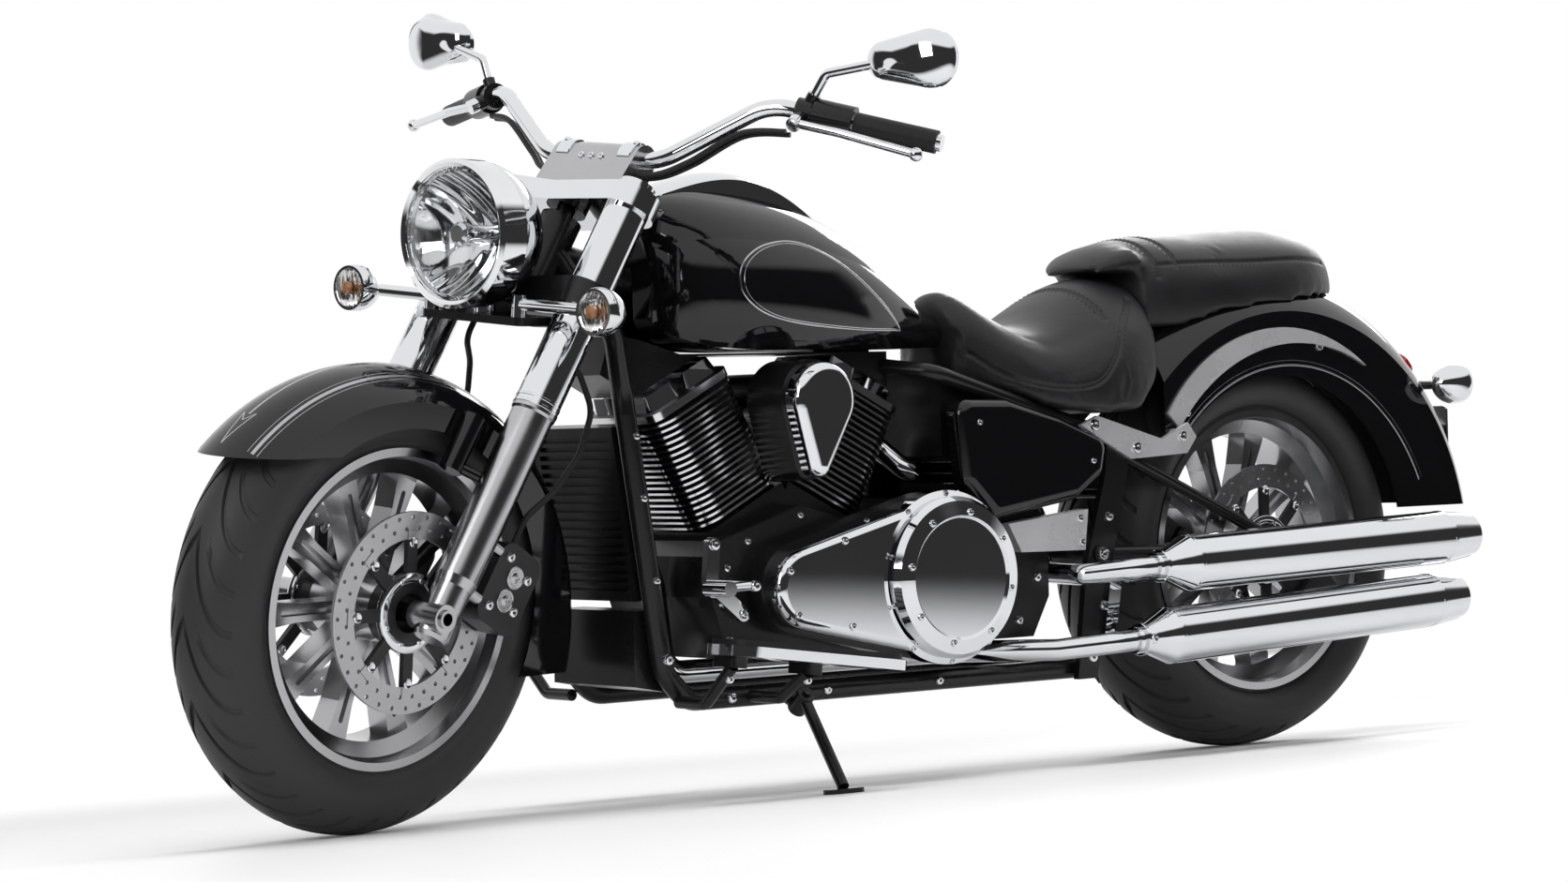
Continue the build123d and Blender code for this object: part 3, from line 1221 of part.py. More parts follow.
def port_face(lean):
    """The end of a cylinder's exhaust port and the direction that it faces."""
    port_plane = barrel_plane(lean, PORT_AT)
    facing = port_plane.x_dir * (1 if lean > 0 else -1)
    return port_plane.origin + facing * (PORT_REACH + SEAT_GAP), facing


front_port, front_facing = port_face(V_HALF)
rear_port, rear_facing = port_face(-V_HALF)
with BuildPart() as exhaust_headers:
    for port_start, facing, run, line in (
        (
            rear_port,
            rear_facing,
            (
                Vector(-128, 40, 480),
                Vector(-330, 60, 474),
                Vector(-366, 70, 400),
                Vector(-362, 84, 315),
                Vector(-364, 176, 312),
            ),
            MUFFLER_LINES[0],
        ),
        (
            front_port,
            front_facing,
            (
                Vector(354, 20, 330),
                Vector(352, 40, UNDER_Z),
                Vector(-180, 60, UNDER_Z),
                Vector(-300, 186, UNDER_Z),
            ),
            MUFFLER_LINES[1],
        ),
    ):
        into = (line[1] - line[0]).normalized()
        knee = port_start + facing * 32
        tube((port_start, knee, *run, line[0] - into * 40, line[0] - into * SEAT_GAP), HEADER_R, 30)
exhaust_headers.part.label = "exhaust_headers"
exhaust_headers.part.move(PARKED)
export_step(exhaust_headers.part, "parts/exhaust_headers.step")

HANGER_OUTLINE = ((-446, 318), (-620, 318), (-620, 294), (-466, 294), (-448, 192), (-424, 192))
with BuildPart() as mufflers:
    for start, end in MUFFLER_LINES:
        length = (end - start).length
        axis = (end - start).normalized()
        across = Vector(axis.Z, 0, -axis.X)
        with BuildSketch(Plane(origin=start, x_dir=axis, z_dir=across.cross(axis))) as silencer:
            with BuildLine():
                Polyline(
                    (0, 0),
                    (0, HEADER_R + 4),
                    (18, HEADER_R + 4),
                    (MUFFLER_CONE, MUFFLER_R),
                    (length - MUFFLER_CONE, MUFFLER_R),
                    (length, MUFFLER_TAIL_R),
                    (length, MUFFLER_BORE_R),
                    (length - 60, MUFFLER_BORE_R),
                    (length - 60, 0),
                    close=True,
                )
            make_face()
        revolve(profiles=silencer.sketch, axis=Axis(start, axis))
    for x, z, reach in ((-600, 305, 200), (-436, 210, 220)):
        tube((Vector(x, PLATE_Y[1] + 4, z), Vector(x, reach, z)), 9)
    with BuildSketch(side_plane(PLATE_Y[1] + SEAT_GAP)):
        with BuildLine():
            Polyline(*HANGER_OUTLINE, close=True)
        make_face()
    extrude(amount=-7)
mufflers.part.label = "mufflers"
mufflers.part.move(PARKED)
export_step(mufflers.part, "parts/mufflers.step")

# --- Fuel tank over the backbone, with the console along its crest --------------------------------
TANK_WALL = 3
TANK_SECTIONS = (
    {"x": 380, "half": 70, "low": 722, "high": 868},
    {"x": 340, "half": 140, "low": 686, "high": 910},
    {"x": 220, "half": 168, "low": 672, "high": 915},
    {"x": 60, "half": 150, "low": 671, "high": 882},
    {"x": -100, "half": 95, "low": 672, "high": 792},
    {"x": -200, "half": 45, "low": 674, "high": 728},
)
CONSOLE_SECTIONS = (
    {"x": 352, "half": 40, "crest": 915},
    {"x": 277, "half": 50, "crest": 936},
    {"x": 200, "half": 52, "crest": 943},
    {"x": 110, "half": 48, "crest": 920},
    {"x": 10, "half": 24, "crest": 868},
)


def tank_form(shrink):
    """Lofts the tank's shape: rounded shoulders, flat underside, narrow tail."""
    sections = []
    for row in TANK_SECTIONS:
        half = row["half"] - shrink
        low = row["low"] + shrink
        high = row["high"] - shrink
        pull = shrink if row["x"] > 0 else -shrink
        ends = row["x"] in (TANK_SECTIONS[0]["x"], TANK_SECTIONS[-1]["x"])
        x = row["x"] - (pull if ends else 0)
        shoulder = low + (high - low) * 0.66
        with BuildSketch(Plane(origin=(x, 0, 0), x_dir=(0, 1, 0), z_dir=(1, 0, 0))) as section:
            with BuildLine():
                Line((-half * 0.8, low), (half * 0.8, low))
                ThreePointArc((half * 0.8, low), (half, low + (high - low) * 0.34), (half * 0.84, shoulder))
                ThreePointArc((half * 0.84, shoulder), (0, high), (-half * 0.84, shoulder))
                ThreePointArc((-half * 0.84, shoulder), (-half, low + (high - low) * 0.34), (-half * 0.8, low))
            make_face()
        sections.append(section.sketch)
    loft(sections=sections)


def tunnel_form(clearance, mode):
    """The channel under the tank that straddles the backbone."""
    run = (BACKBONE_TAIL - BACKBONE_FRONT).normalized()
    start = BACKBONE_FRONT - run * 20
    reach = BACKBONE_R + clearance
    with BuildSketch(Plane(origin=start, x_dir=(0, 1, 0), z_dir=run)) as channel:
        Circle(reach)
        with Locations((0, 60)):
            Rectangle(2 * reach, 120)
    extrude(to_extrude=channel.sketch, amount=900, mode=mode)


with BuildPart() as tank_inside:
    tank_form(TANK_WALL)
    tunnel_form(SEAT_GAP + TANK_WALL, Mode.SUBTRACT)
with BuildPart() as fuel_tank:
    tank_form(0)
    add(tank_inside.part, mode=Mode.SUBTRACT)
    tunnel_form(SEAT_GAP, Mode.SUBTRACT)
fuel_tank.part.label = "fuel_tank"
fuel_tank.part.move(PARKED)
export_step(fuel_tank.part, "parts/fuel_tank.step")

with BuildPart() as tank_outside:
    tank_form(-SEAT_GAP)
with BuildPart() as tank_console:
    for row in CONSOLE_SECTIONS:
        half = row["half"]
        crest = row["crest"]
        with BuildSketch(Plane(origin=(row["x"], 0, 0), x_dir=(0, 1, 0), z_dir=(1, 0, 0))):
            with BuildLine():
                ThreePointArc((-half, crest - 14), (0, crest), (half, crest - 14))
                Polyline((half, crest - 14), (half, crest - 60), (-half, crest - 60), (-half, crest - 14))
            make_face()
    loft()
    add(tank_outside.part, mode=Mode.SUBTRACT)
tank_console.part.label = "tank_console"
tank_console.part.move(PARKED)
export_step(tank_console.part, "parts/tank_console.step")

# --- Rear mudguard --------------------------------------------------------------------------------
REAR_GUARD_CENTRE = rear_axle_point + Vector(-30, 0, -30)
REAR_GUARD_TOP = REAR_GUARD_CENTRE.Z + REAR_GUARD_R
REAR_GUARD_DROP = 75
REAR_GUARD_DEPTH = 320
REAR_GUARD_FRONT_X = REAR_GUARD_CENTRE.X + 290
REAR_GUARD_TAIL_Z = 390
REAR_GUARD_FOOT_Z = 515


def guard_hull(grow):
    """Revolves the whole round that the rear mudguard wraps, larger by the growth."""
    hull_half = REAR_GUARD_HALF + grow
    spring = REAR_GUARD_R - REAR_GUARD_DROP
    with BuildSketch(wheel_section(REAR_GUARD_CENTRE)) as hull:
        with BuildLine():
            ThreePointArc((-hull_half, spring), (0, REAR_GUARD_R + grow), (hull_half, spring))
            Polyline((hull_half, spring), (hull_half, 0), (-hull_half, 0), (-hull_half, spring))
        make_face()
    revolve(profiles=hull.sketch, axis=spin_axis(REAR_GUARD_CENTRE))


with BuildPart() as guard_round:
    guard_hull(SEAT_GAP)

with BuildPart() as rear_mudguard:
    guard_form(
        wheel_section(REAR_GUARD_CENTRE),
        spin_axis(REAR_GUARD_CENTRE),
        REAR_GUARD_HALF,
        REAR_GUARD_R,
        REAR_GUARD_DROP,
        REAR_GUARD_DEPTH,
    )
    with BuildSketch(side_plane(0)):
        with BuildLine():
            Polyline(
                (REAR_GUARD_FRONT_X, REAR_GUARD_FOOT_Z),
                (REAR_GUARD_FRONT_X, 900),
                (rear_axle_point.X - 700, 900),
                (rear_axle_point.X - 700, REAR_GUARD_TAIL_Z),
                (rear_axle_point.X, REAR_GUARD_TAIL_Z),
                (rear_axle_point.X, REAR_GUARD_FOOT_Z),
                close=True,
            )
        make_face()
        with Locations((rear_axle_point.X, rear_axle_point.Z)):
            Circle(REAR_GUARD_LIP_R, mode=Mode.SUBTRACT)
    extrude(amount=200, both=True, mode=Mode.INTERSECT)
rear_mudguard.part.label = "rear_mudguard"
rear_mudguard.part.move(PARKED)
export_step(rear_mudguard.part, "parts/rear_mudguard.step")

# --- Chrome on the chassis: seat rail brackets, mudguard spears, engine corner covers -------------
BRACKET_OUTLINE = ((-387, 546), (-424, 560), (-563, 520), (-622, 545), (-640, 522), (-618, 496), (-494, 490))
CORNER_OUTLINE = ((-224, 397), (-392, 414), (-384, 350), (-250, 352))
SPEAR_FRONT = ((262, 236), (286, 260))
SPEAR_CROWN = ((74, 360), (80, 392))
SPEAR_TIP = (-178, 332)
BRACKET_THICK = 8
TRIM_THICK = 5
with BuildPart() as chrome_trims:
    for side in (1, -1):
        with BuildSketch(side_plane(side * (PLATE_Y[1] + SEAT_GAP))) as bracket:
            with BuildLine():
                Polyline(*BRACKET_OUTLINE, close=True)
            make_face()
        outwards(bracket.sketch, side, BRACKET_THICK)
        guard_side = REAR_GUARD_HALF + SEAT_GAP
        bolt = Vector(-607, side * guard_side, 524)
        tube((bolt, bolt + Vector(0, side * (PLATE_Y[1] + BRACKET_THICK - guard_side), 0)), 12)
        spear_middle = REAR_GUARD_CENTRE + Vector(0, side * guard_side, 0)
        with BuildSketch(Plane(origin=spear_middle, x_dir=(1, 0, 0), z_dir=(0, -1, 0))) as spear:
            with BuildLine():
                Line(SPEAR_FRONT[0], SPEAR_FRONT[1])
                ThreePointArc(SPEAR_FRONT[1], SPEAR_CROWN[1], SPEAR_TIP)
                ThreePointArc(SPEAR_TIP, SPEAR_CROWN[0], SPEAR_FRONT[0])
            make_face()
        outwards(spear.sketch, side, TRIM_THICK)
        with BuildSketch(side_plane(side * (PLATE_Y[0] + 2))) as corner:
            with BuildLine():
                Polyline(*CORNER_OUTLINE, close=True)
            make_face()
        outwards(corner.sketch, side, 24)
        corner_bolt = Vector(-290, side * (CASE_HALF + SEAT_GAP), 378)
        tube((corner_bolt, corner_bolt + Vector(0, side * 14, 0)), 16)
chrome_trims.part.label = "chrome_trims"
chrome_trims.part.move(PARKED)
export_step(chrome_trims.part, "parts/chrome_trims.step")

# --- Battery box between the seat rails, side covers ----------------------------------------------
BATTERY_HALF = 108
COVER_Y = (SEAT_RAIL_Y + SEAT_RAIL_R + 1, 176)
COVER_CORNER = 26
COVER_EDGE = 18
COVER_OUTLINE = (
    (-120, 592),
    (-132, 462),
    (-190, 404),
    (-366, 430),
    (-422, 468),
    (-434, 522),
    (-332, 562),
    (-225, 590),
)
COVER_BOLTS = (Vector(-180, 0, 540), Vector(-300, 0, 512))
rail_fall = (SEAT_RAIL_FRONT.Z - SEAT_RAIL_BACK.Z) / (SEAT_RAIL_FRONT.X - SEAT_RAIL_BACK.X)


def rail_height(x):
    """Height of the seat rails' middle line at x."""
    return SEAT_RAIL_FRONT.Z - (SEAT_RAIL_FRONT.X - x) * rail_fall


with BuildPart() as battery_box:
    with BuildSketch(side_plane(0)):
        with BuildLine():
            Polyline(
                (-140, 505),
                (-140, rail_height(-140) + 8),
                (-385, rail_height(-385) + 8),
                (-385, 505),
                close=True,
            )
        make_face()
    extrude(amount=BATTERY_HALF, both=True)
    for x in (-170, -340):
        hold_z = rail_height(x)
        hold_y = SEAT_RAIL_Y - SEAT_RAIL_R - SEAT_GAP
        tube((Vector(x, hold_y, hold_z), Vector(x, -hold_y, hold_z)), 7)
battery_box.part.label = "battery_box"
battery_box.part.move(PARKED)
export_step(battery_box.part, "parts/battery_box.step")

with BuildPart() as side_covers:
    for side in (1, -1):
        with BuildSketch(side_plane(side * COVER_Y[0])) as cover:
            with BuildLine():
                FilletPolyline(*COVER_OUTLINE, radius=COVER_CORNER, close=True)
            make_face()
        outwards(cover.sketch, side, COVER_Y[1] - COVER_Y[0])
        rims = side_covers.edges().group_by(Axis.Y)
        fillet(rims[-1] if side == 1 else rims[0], COVER_EDGE)
        for bolt in COVER_BOLTS:
            inner = bolt + Vector(0, side * (BATTERY_HALF + SEAT_GAP), 0)
            tube((inner, bolt + Vector(0, side * (COVER_Y[0] + 4), 0)), 10)
side_covers.part.label = "side_covers"
side_covers.part.move(PARKED)
export_step(side_covers.part, "parts/side_covers.step")

# --- Seats ----------------------------------------------------------------------------------------
SKIRT_Y = SEAT_RAIL_Y + SEAT_RAIL_R + 2
SEAT_HEM = ((-100, 640), (-196, 602), (-312, 576), (-432, 564), (-513, 566), (-567, 622), (-600, 720))
RIDER_SECTIONS = (
    {"x": -203, "half": 62, "high": 748},
    {"x": -270, "half": 128, "high": 738},
    {"x": -350, "half": 172, "high": 704},
    {"x": -440, "half": 180, "high": 746},
    {"x": -520, "half": 168, "high": 782},
    {"x": -579, "half": 150, "high": 784},
)
NOSE_SECTIONS = (
    {"x": -512, "half": 60, "low": REAR_GUARD_TOP - 10, "high": REAR_GUARD_TOP - 2},
    {"x": -545, "half": 90, "low": REAR_GUARD_TOP - 10, "high": REAR_GUARD_TOP + 26},
    {"x": -581, "half": 108, "low": REAR_GUARD_TOP - 10, "high": REAR_GUARD_TOP + 42},
)
PASSENGER_SECTIONS = (
    {"x": -580, "half": 108, "low": REAR_GUARD_TOP - 100, "high": REAR_GUARD_TOP + 42},
    {"x": -640, "half": 122, "low": REAR_GUARD_TOP - 100, "high": REAR_GUARD_TOP + 52},
    {"x": -760, "half": 132, "low": REAR_GUARD_TOP - 100, "high": REAR_GUARD_TOP + 58},
    {"x": -900, "half": 130, "low": REAR_GUARD_TOP - 100, "high": REAR_GUARD_TOP + 68},
    {"x": -1000, "half": 106, "low": REAR_GUARD_TOP - 100, "high": REAR_GUARD_TOP + 62},
    {"x": -1056, "half": 70, "low": REAR_GUARD_TOP - 100, "high": REAR_GUARD_TOP + 38},
)


def cushion_form(rows):
    """Lofts a cushion over its sections: flat base, full sides and a low crown."""
    sections = []
    for row in rows:
        half = row["half"]
        low = row["low"]
        edge = low + (row["high"] - low) * 0.7
        with BuildSketch(Plane(origin=(row["x"], 0, 0), x_dir=(0, 1, 0), z_dir=(1, 0, 0))) as section:
            with BuildLine():
                Line((-half * 0.92, low), (half * 0.92, low))
                ThreePointArc((half * 0.92, low), (half, (low + edge) / 2), (half * 0.88, edge))
                ThreePointArc((half * 0.88, edge), (0, row["high"]), (-half * 0.88, edge))
                ThreePointArc((-half * 0.88, edge), (-half, (low + edge) / 2), (-half * 0.92, low))
            make_face()
        sections.append(section.sketch)
    loft(sections=sections)


with BuildPart() as rider_seat:
    cushion_form([{**row, "low": rail_height(row["x"]) - 4} for row in RIDER_SECTIONS])
    with BuildSketch(side_plane(0)):
        with BuildLine():
            seat_base = SEAT_RAIL_R / cos(atan2(rail_fall, 1)) + SEAT_GAP
            Polyline(
                (-100, rail_height(-100) + seat_base),
                (-700, rail_height(-700) + seat_base),
                (-700, 300),
                (-100, 300),
                close=True,
            )
        make_face()
    extrude(amount=SKIRT_Y, both=True, mode=Mode.SUBTRACT)
    with BuildSketch(side_plane(0)):
        with BuildLine():
            Polyline(*SEAT_HEM, (-700, 300), (-100, 300), close=True)
        make_face()
    extrude(amount=300, both=True, mode=Mode.SUBTRACT)
    add(guard_round.part, mode=Mode.SUBTRACT)
rider_seat.part.label = "rider_seat"
rider_seat.part.move(PARKED)
export_step(rider_seat.part, "parts/rider_seat.step")

with BuildPart() as passenger_seat:
    cushion_form(PASSENGER_SECTIONS)
    cushion_form(NOSE_SECTIONS)
    add(guard_round.part, mode=Mode.SUBTRACT)
passenger_seat.part.label = "passenger_seat"
passenger_seat.part.move(PARKED)
export_step(passenger_seat.part, "parts/passenger_seat.step")

# --- Rear lamps and the plate's bracket -----------------------------------------------------------
TAIL_LAMP_RISE = 322
TAIL_LAMP_HIGH = 58
TAIL_LAMP_WIDE = 92
TAIL_LAMP_PROUD = 22
PLATE_STALK_RISE = 230
PLATE_STAND_OFF = 28
PLATE_SPAN = (-100, 30)
PLATE_HALF = 55


def guard_crest(rise):
    """The point on the rear mudguard's crest, behind its centre and above it by the rise."""
    return REAR_GUARD_CENTRE + Vector(-sqrt(REAR_GUARD_R**2 - rise**2), 0, rise)


tail_crest = guard_crest(TAIL_LAMP_RISE)
plate_foot = guard_crest(PLATE_STALK_RISE) - Vector(PLATE_STAND_OFF, 0, 0)
REAR_INDICATOR = tail_crest + Vector(30, 170, -24)
tail_out = (tail_crest - REAR_GUARD_CENTRE).normalized()
with BuildPart() as rear_lamps:
    for side in (1, -1):
        lamp = Vector(REAR_INDICATOR.X, side * REAR_INDICATOR.Y, REAR_INDICATOR.Z)
        indicator_shell(lamp, -1)
        tube((lamp, Vector(lamp.X, side * 90, lamp.Z)), 9)
    plate_middle = plate_foot + Vector(0, 0, sum(PLATE_SPAN) / 2)
    with BuildSketch(Plane(origin=plate_middle, x_dir=(0, 1, 0), z_dir=(-1, 0, 0))):
        RectangleRounded(2 * PLATE_HALF, PLATE_SPAN[1] - PLATE_SPAN[0], 8)
    extrude(amount=4)
    tube((plate_foot + Vector(60, 0, 0), plate_foot - Vector(2, 0, 0)), 12)
    add(guard_round.part, mode=Mode.SUBTRACT)
rear_lamps.part.label = "rear_lamps"
rear_lamps.part.move(PARKED)
export_step(rear_lamps.part, "parts/rear_lamps.step")

with BuildPart() as rear_lenses:
    for side in (1, -1):
        indicator_lens(Vector(REAR_INDICATOR.X, side * REAR_INDICATOR.Y, REAR_INDICATOR.Z), -1)
    with BuildSketch(Plane(origin=tail_crest - tail_out * 20, x_dir=(0, 1, 0), z_dir=tail_out)):
        RectangleRounded(TAIL_LAMP_WIDE, TAIL_LAMP_HIGH, 24)
    extrude(amount=20 + TAIL_LAMP_PROUD, taper=8)
    add(guard_round.part, mode=Mode.SUBTRACT)
rear_lenses.part.label = "rear_lenses"
rear_lenses.part.move(PARKED)
export_step(rear_lenses.part, "parts/rear_lenses.step")

# --- Floorboards and foot controls ----------------------------------------------------------------
BOARD_MIDDLE = Vector(275, 284, 232)
BOARD_LONG = 320
BOARD_WIDE = 108
BOARD_THICK = 15
PAD_THICK = 8
BOARD_ARMS = (262, 398)
BOARD_ARM_R = 9
board_up = Vector(-sin(radians(BOARD_PITCH)), 0, cos(radians(BOARD_PITCH)))
with BuildPart() as floorboards:
    for side in (1, -1):
        middle = Vector(BOARD_MIDDLE.X, side * BOARD_MIDDLE.Y, BOARD_MIDDLE.Z)
        with BuildSketch(Plane(origin=middle, x_dir=(board_up.Z, 0, -board_up.X), z_dir=board_up)):
            RectangleRounded(BOARD_LONG, BOARD_WIDE, 34)
        extrude(amount=-BOARD_THICK)
floorboards.part.label = "floorboards"
floorboards.part.move(PARKED)
export_step(floorboards.part, "parts/floorboards.step")

with BuildPart() as board_hangers:
    for side in (1, -1):
        for x in BOARD_ARMS:
            under_board = BOARD_MIDDLE.Z + (x - BOARD_MIDDLE.X) * tan(radians(BOARD_PITCH))
            under_board -= (BOARD_THICK + SEAT_GAP) / cos(radians(BOARD_PITCH))
            rail_side = Vector(x, side * (RAIL_Y + RAIL_R + SEAT_GAP), RAIL_Z)
            tube((rail_side, Vector(x, side * 200, RAIL_Z), Vector(x, side * 266, under_board - 14)), BOARD_ARM_R, 20)
            head = Vector(x, side * 262, under_board)
            with BuildSketch(Plane(origin=head, x_dir=(board_up.Z, 0, -board_up.X), z_dir=board_up)):
                RectangleRounded(30, 52, 8)
            extrude(amount=-16)
board_hangers.part.label = "board_hangers"
board_hangers.part.move(PARKED)
export_step(board_hangers.part, "parts/board_hangers.step")

with BuildPart() as board_pads:
    for side in (1, -1):
        middle = Vector(BOARD_MIDDLE.X, side * BOARD_MIDDLE.Y, BOARD_MIDDLE.Z)
        base = middle + board_up * SEAT_GAP
        with BuildSketch(Plane(origin=base, x_dir=(board_up.Z, 0, -board_up.X), z_dir=board_up)):
            RectangleRounded(BOARD_LONG - 14, BOARD_WIDE - 14, 28)
        extrude(amount=PAD_THICK)
        tread = base + board_up * PAD_THICK
        with BuildSketch(Plane(origin=tread, x_dir=(board_up.Z, 0, -board_up.X), z_dir=board_up)):
            with GridLocations(0, 18, 1, 4):
                SlotOverall(BOARD_LONG - 80, 8)
        extrude(amount=-3, mode=Mode.SUBTRACT)
board_pads.part.label = "board_pads"
board_pads.part.move(PARKED)
export_step(board_pads.part, "parts/board_pads.step")

LINK_EYES = ((331, 388), (337, 330), (280, 284))
LINK_R = 11
PEDAL_PIVOT = Vector(330, 0, 330)
PEDAL_REACH = 236
PEDAL_TOE = Vector(420, 262, 330)
with BuildPart() as foot_controls:
    for side in (1, -1):
        for eyes in (LINK_EYES[:2], LINK_EYES[1:]):
            with BuildSketch(side_plane(side * (CASE_HALF + SEAT_GAP))) as link:
                with Locations(*eyes):
                    Circle(LINK_R)
                make_hull()
            outwards(link.sketch, side, 12)
        spot = Vector if side == 1 else flip
        start = PEDAL_PIVOT + Vector(0, CASE_HALF + 6, 0)
        knee = Vector(PEDAL_PIVOT.X, PEDAL_REACH, PEDAL_PIVOT.Z)
        tube((spot(start), spot(knee), spot(PEDAL_TOE)), 7, 16)
        tube((spot(PEDAL_TOE - Vector(0, 20, 0)), spot(PEDAL_TOE + Vector(0, 34, 0))), 11)
foot_controls.part.label = "foot_controls"
foot_controls.part.move(PARKED)
export_step(foot_controls.part, "parts/foot_controls.step")

# --- Side stand: deployed, its foot flat on the ground --------------------------------------------
STAND_LEG_R = 9
STAND_PAD_LONG = 62
STAND_PAD_WIDE = 38
STAND_PAD_THICK = 7
ground_up = moved_point(PARKED.inverse(), Vector(0, 0, 1)) - moved_point(PARKED.inverse(), Vector(0, 0, 0))
foot_drop = moved_point(PARKED, STAND_FOOT).Z
stand_ground = STAND_FOOT - ground_up * foot_drop
with BuildPart() as side_stand:
    tube((stand_face, stand_face + stand_hinge * STAND_EYE_DEPTH), STAND_EYE_R)
    tube((STAND_EYE, STAND_FOOT), STAND_LEG_R)
    with BuildSketch(Plane(origin=stand_ground, x_dir=(1, 0, 0), z_dir=ground_up)):
        RectangleRounded(STAND_PAD_LONG, STAND_PAD_WIDE, 15)
    extrude(amount=STAND_PAD_THICK)
    bore(stand_face - stand_hinge, stand_face + stand_hinge * (STAND_EYE_DEPTH + 1), STAND_PIN_R + FIT)
side_stand.part.label = "side_stand"
side_stand.part.move(PARKED)
export_step(side_stand.part, "parts/side_stand.step")
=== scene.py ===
import json
import math

import bmesh
import bpy
from mathutils import Matrix, Vector, kdtree
from mathutils.bvhtree import BVHTree


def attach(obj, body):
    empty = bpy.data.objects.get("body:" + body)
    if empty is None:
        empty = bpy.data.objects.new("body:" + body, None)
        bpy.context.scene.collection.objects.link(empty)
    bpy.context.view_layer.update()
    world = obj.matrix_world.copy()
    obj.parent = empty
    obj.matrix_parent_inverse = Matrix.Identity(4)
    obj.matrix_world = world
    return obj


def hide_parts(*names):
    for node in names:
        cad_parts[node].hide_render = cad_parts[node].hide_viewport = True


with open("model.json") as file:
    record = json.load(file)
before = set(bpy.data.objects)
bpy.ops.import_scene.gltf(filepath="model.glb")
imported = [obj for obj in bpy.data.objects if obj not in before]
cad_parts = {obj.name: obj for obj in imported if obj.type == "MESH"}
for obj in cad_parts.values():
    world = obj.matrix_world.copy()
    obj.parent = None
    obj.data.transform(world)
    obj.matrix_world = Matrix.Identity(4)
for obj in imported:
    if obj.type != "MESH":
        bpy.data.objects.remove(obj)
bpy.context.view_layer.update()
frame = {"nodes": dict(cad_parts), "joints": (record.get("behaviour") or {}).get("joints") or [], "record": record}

# Metres, in the upright motorcycle's own frame: +X forward, +Y to the rider's left, +Z up.
RAKE = math.radians(30.9)
FORK_OFFSET = 0.032
PARKED_STEER = math.radians(12.6)
HALF_WHEELBASE = 0.85
FRONT_AXLE_HEIGHT = 0.325
REAR_AXLE_HEIGHT = 0.33
FRONT_AXLE = Vector((HALF_WHEELBASE, 0.0, FRONT_AXLE_HEIGHT))
REAR_AXLE = Vector((-HALF_WHEELBASE, 0.0, REAR_AXLE_HEIGHT))
CRANK = Vector((0.16, 0.0, 0.29))
V_HALF = math.radians(27)
FIN_FACE_R = 0.079
DISC_R = 0.142
DISC_BAND = 0.038
FRONT_DISC_Y = (0.092, -0.092)
REAR_DISC_Y = (0.098,)
LAMP = FRONT_AXLE + Vector((-0.142, 0, 0.522))
LAMP_BOWL_R = 0.093

# The camera, fitted to the photograph, in the same frame.
CAMERA_PLACE = (3.66220345, 4.53661348, 0.56489305)
CAMERA_RIGHT = (-0.7847551, 0.61916978, -0.02807521)
CAMERA_UP = (-0.02522893, 0.01334891, 0.99959257)
CAMERA_FORWARD = (-0.61929228, -0.78514368, -0.00514537)
CAMERA_LENS = 86.76

# The studio: where the floor fades, how light its room is, and what metal sees of it.
FLOOR_HALF = 30.0
FLOOR_FADE = (1.7, 3.2)
ROOM_LIGHT = 0.28
ROOM_DARK = 0.035
BACKDROP = (0.2, 0.45)
OVERHEAD = (0.36, 0.5)
STRIPS = ((2.05, 0.17), (-1.35, 0.1))
STRIP_EDGE = 1.4

joints = {joint["name"]: joint for joint in frame["joints"]}


# --- The motorcycle's own frame, upright, found from the parked joints -----
def joint_axis(name):
    return Vector(joints[name]["axis"]).normalized()


def joint_place(name):
    return Vector(joints[name]["pos_m"])


def motorcycle_frame():
    """The motion from the upright motorcycle, half-way between its axles, to its parked place."""
    left = joint_axis("rear_wheel_spin")
    steer = joint_axis("steering")
    level = left.cross(steer)
    ahead = level * math.cos(RAKE) - steer * math.sin(RAKE)
    up = level * math.sin(RAKE) + steer * math.cos(RAKE)
    middle = joint_place("rear_wheel_spin") + ahead * HALF_WHEELBASE - up * REAR_AXLE_HEIGHT
    turned = Matrix((ahead, left, up)).transposed().to_4x4()
    return Matrix.Translation(middle) @ turned


BIKE = motorcycle_frame()
STEER_AXIS = Vector((-math.sin(RAKE), 0, math.cos(RAKE)))
ACROSS_STEER = Vector((math.cos(RAKE), 0, math.sin(RAKE)))
STEER_FOOT = FRONT_AXLE - ACROSS_STEER * FORK_OFFSET


def front_frame():
    """The motion from the upright, straight motorcycle to its parked, steered front end."""
    place = joint_place("steering")
    turned = Matrix.Rotation(PARKED_STEER, 4, joint_axis("steering"))
    return Matrix.Translation(place) @ turned @ Matrix.Translation(-place) @ BIKE


FRONT = front_frame()


def fork_point(across, beside, up):
    """A point given across, beside and along the steering axis."""
    return STEER_FOOT + ACROSS_STEER * across + Vector((0, beside, 0)) + STEER_AXIS * up


def turn_of(motion, direction):
    return (motion.to_3x3() @ Vector(direction)).normalized()


# --- Materials -------------------------------------------------------
SMUDGE_SCALE = 9.0
SMUDGE_SPAN = (0.3, 0.7)
COAT_ROUGHNESS = 0.03
GRAIN_RISE = 0.001
LENS_RIBS = 34.0
LENS_RIB_RISE = 0.002
REFLECTOR_RIBS = 16.0
REFLECTOR_RIB_RISE = 0.0012


def socket(shader, name, value):
    shader.inputs[name].default_value = value


def noise(made, place, scale, detail):
    """A noise texture's value at a place."""
    texture = made.node_tree.nodes.new("ShaderNodeTexNoise")
    socket(texture, "Scale", scale)
    socket(texture, "Detail", detail)
    made.node_tree.links.new(place, texture.inputs["Vector"])
    return texture.outputs["Fac"]


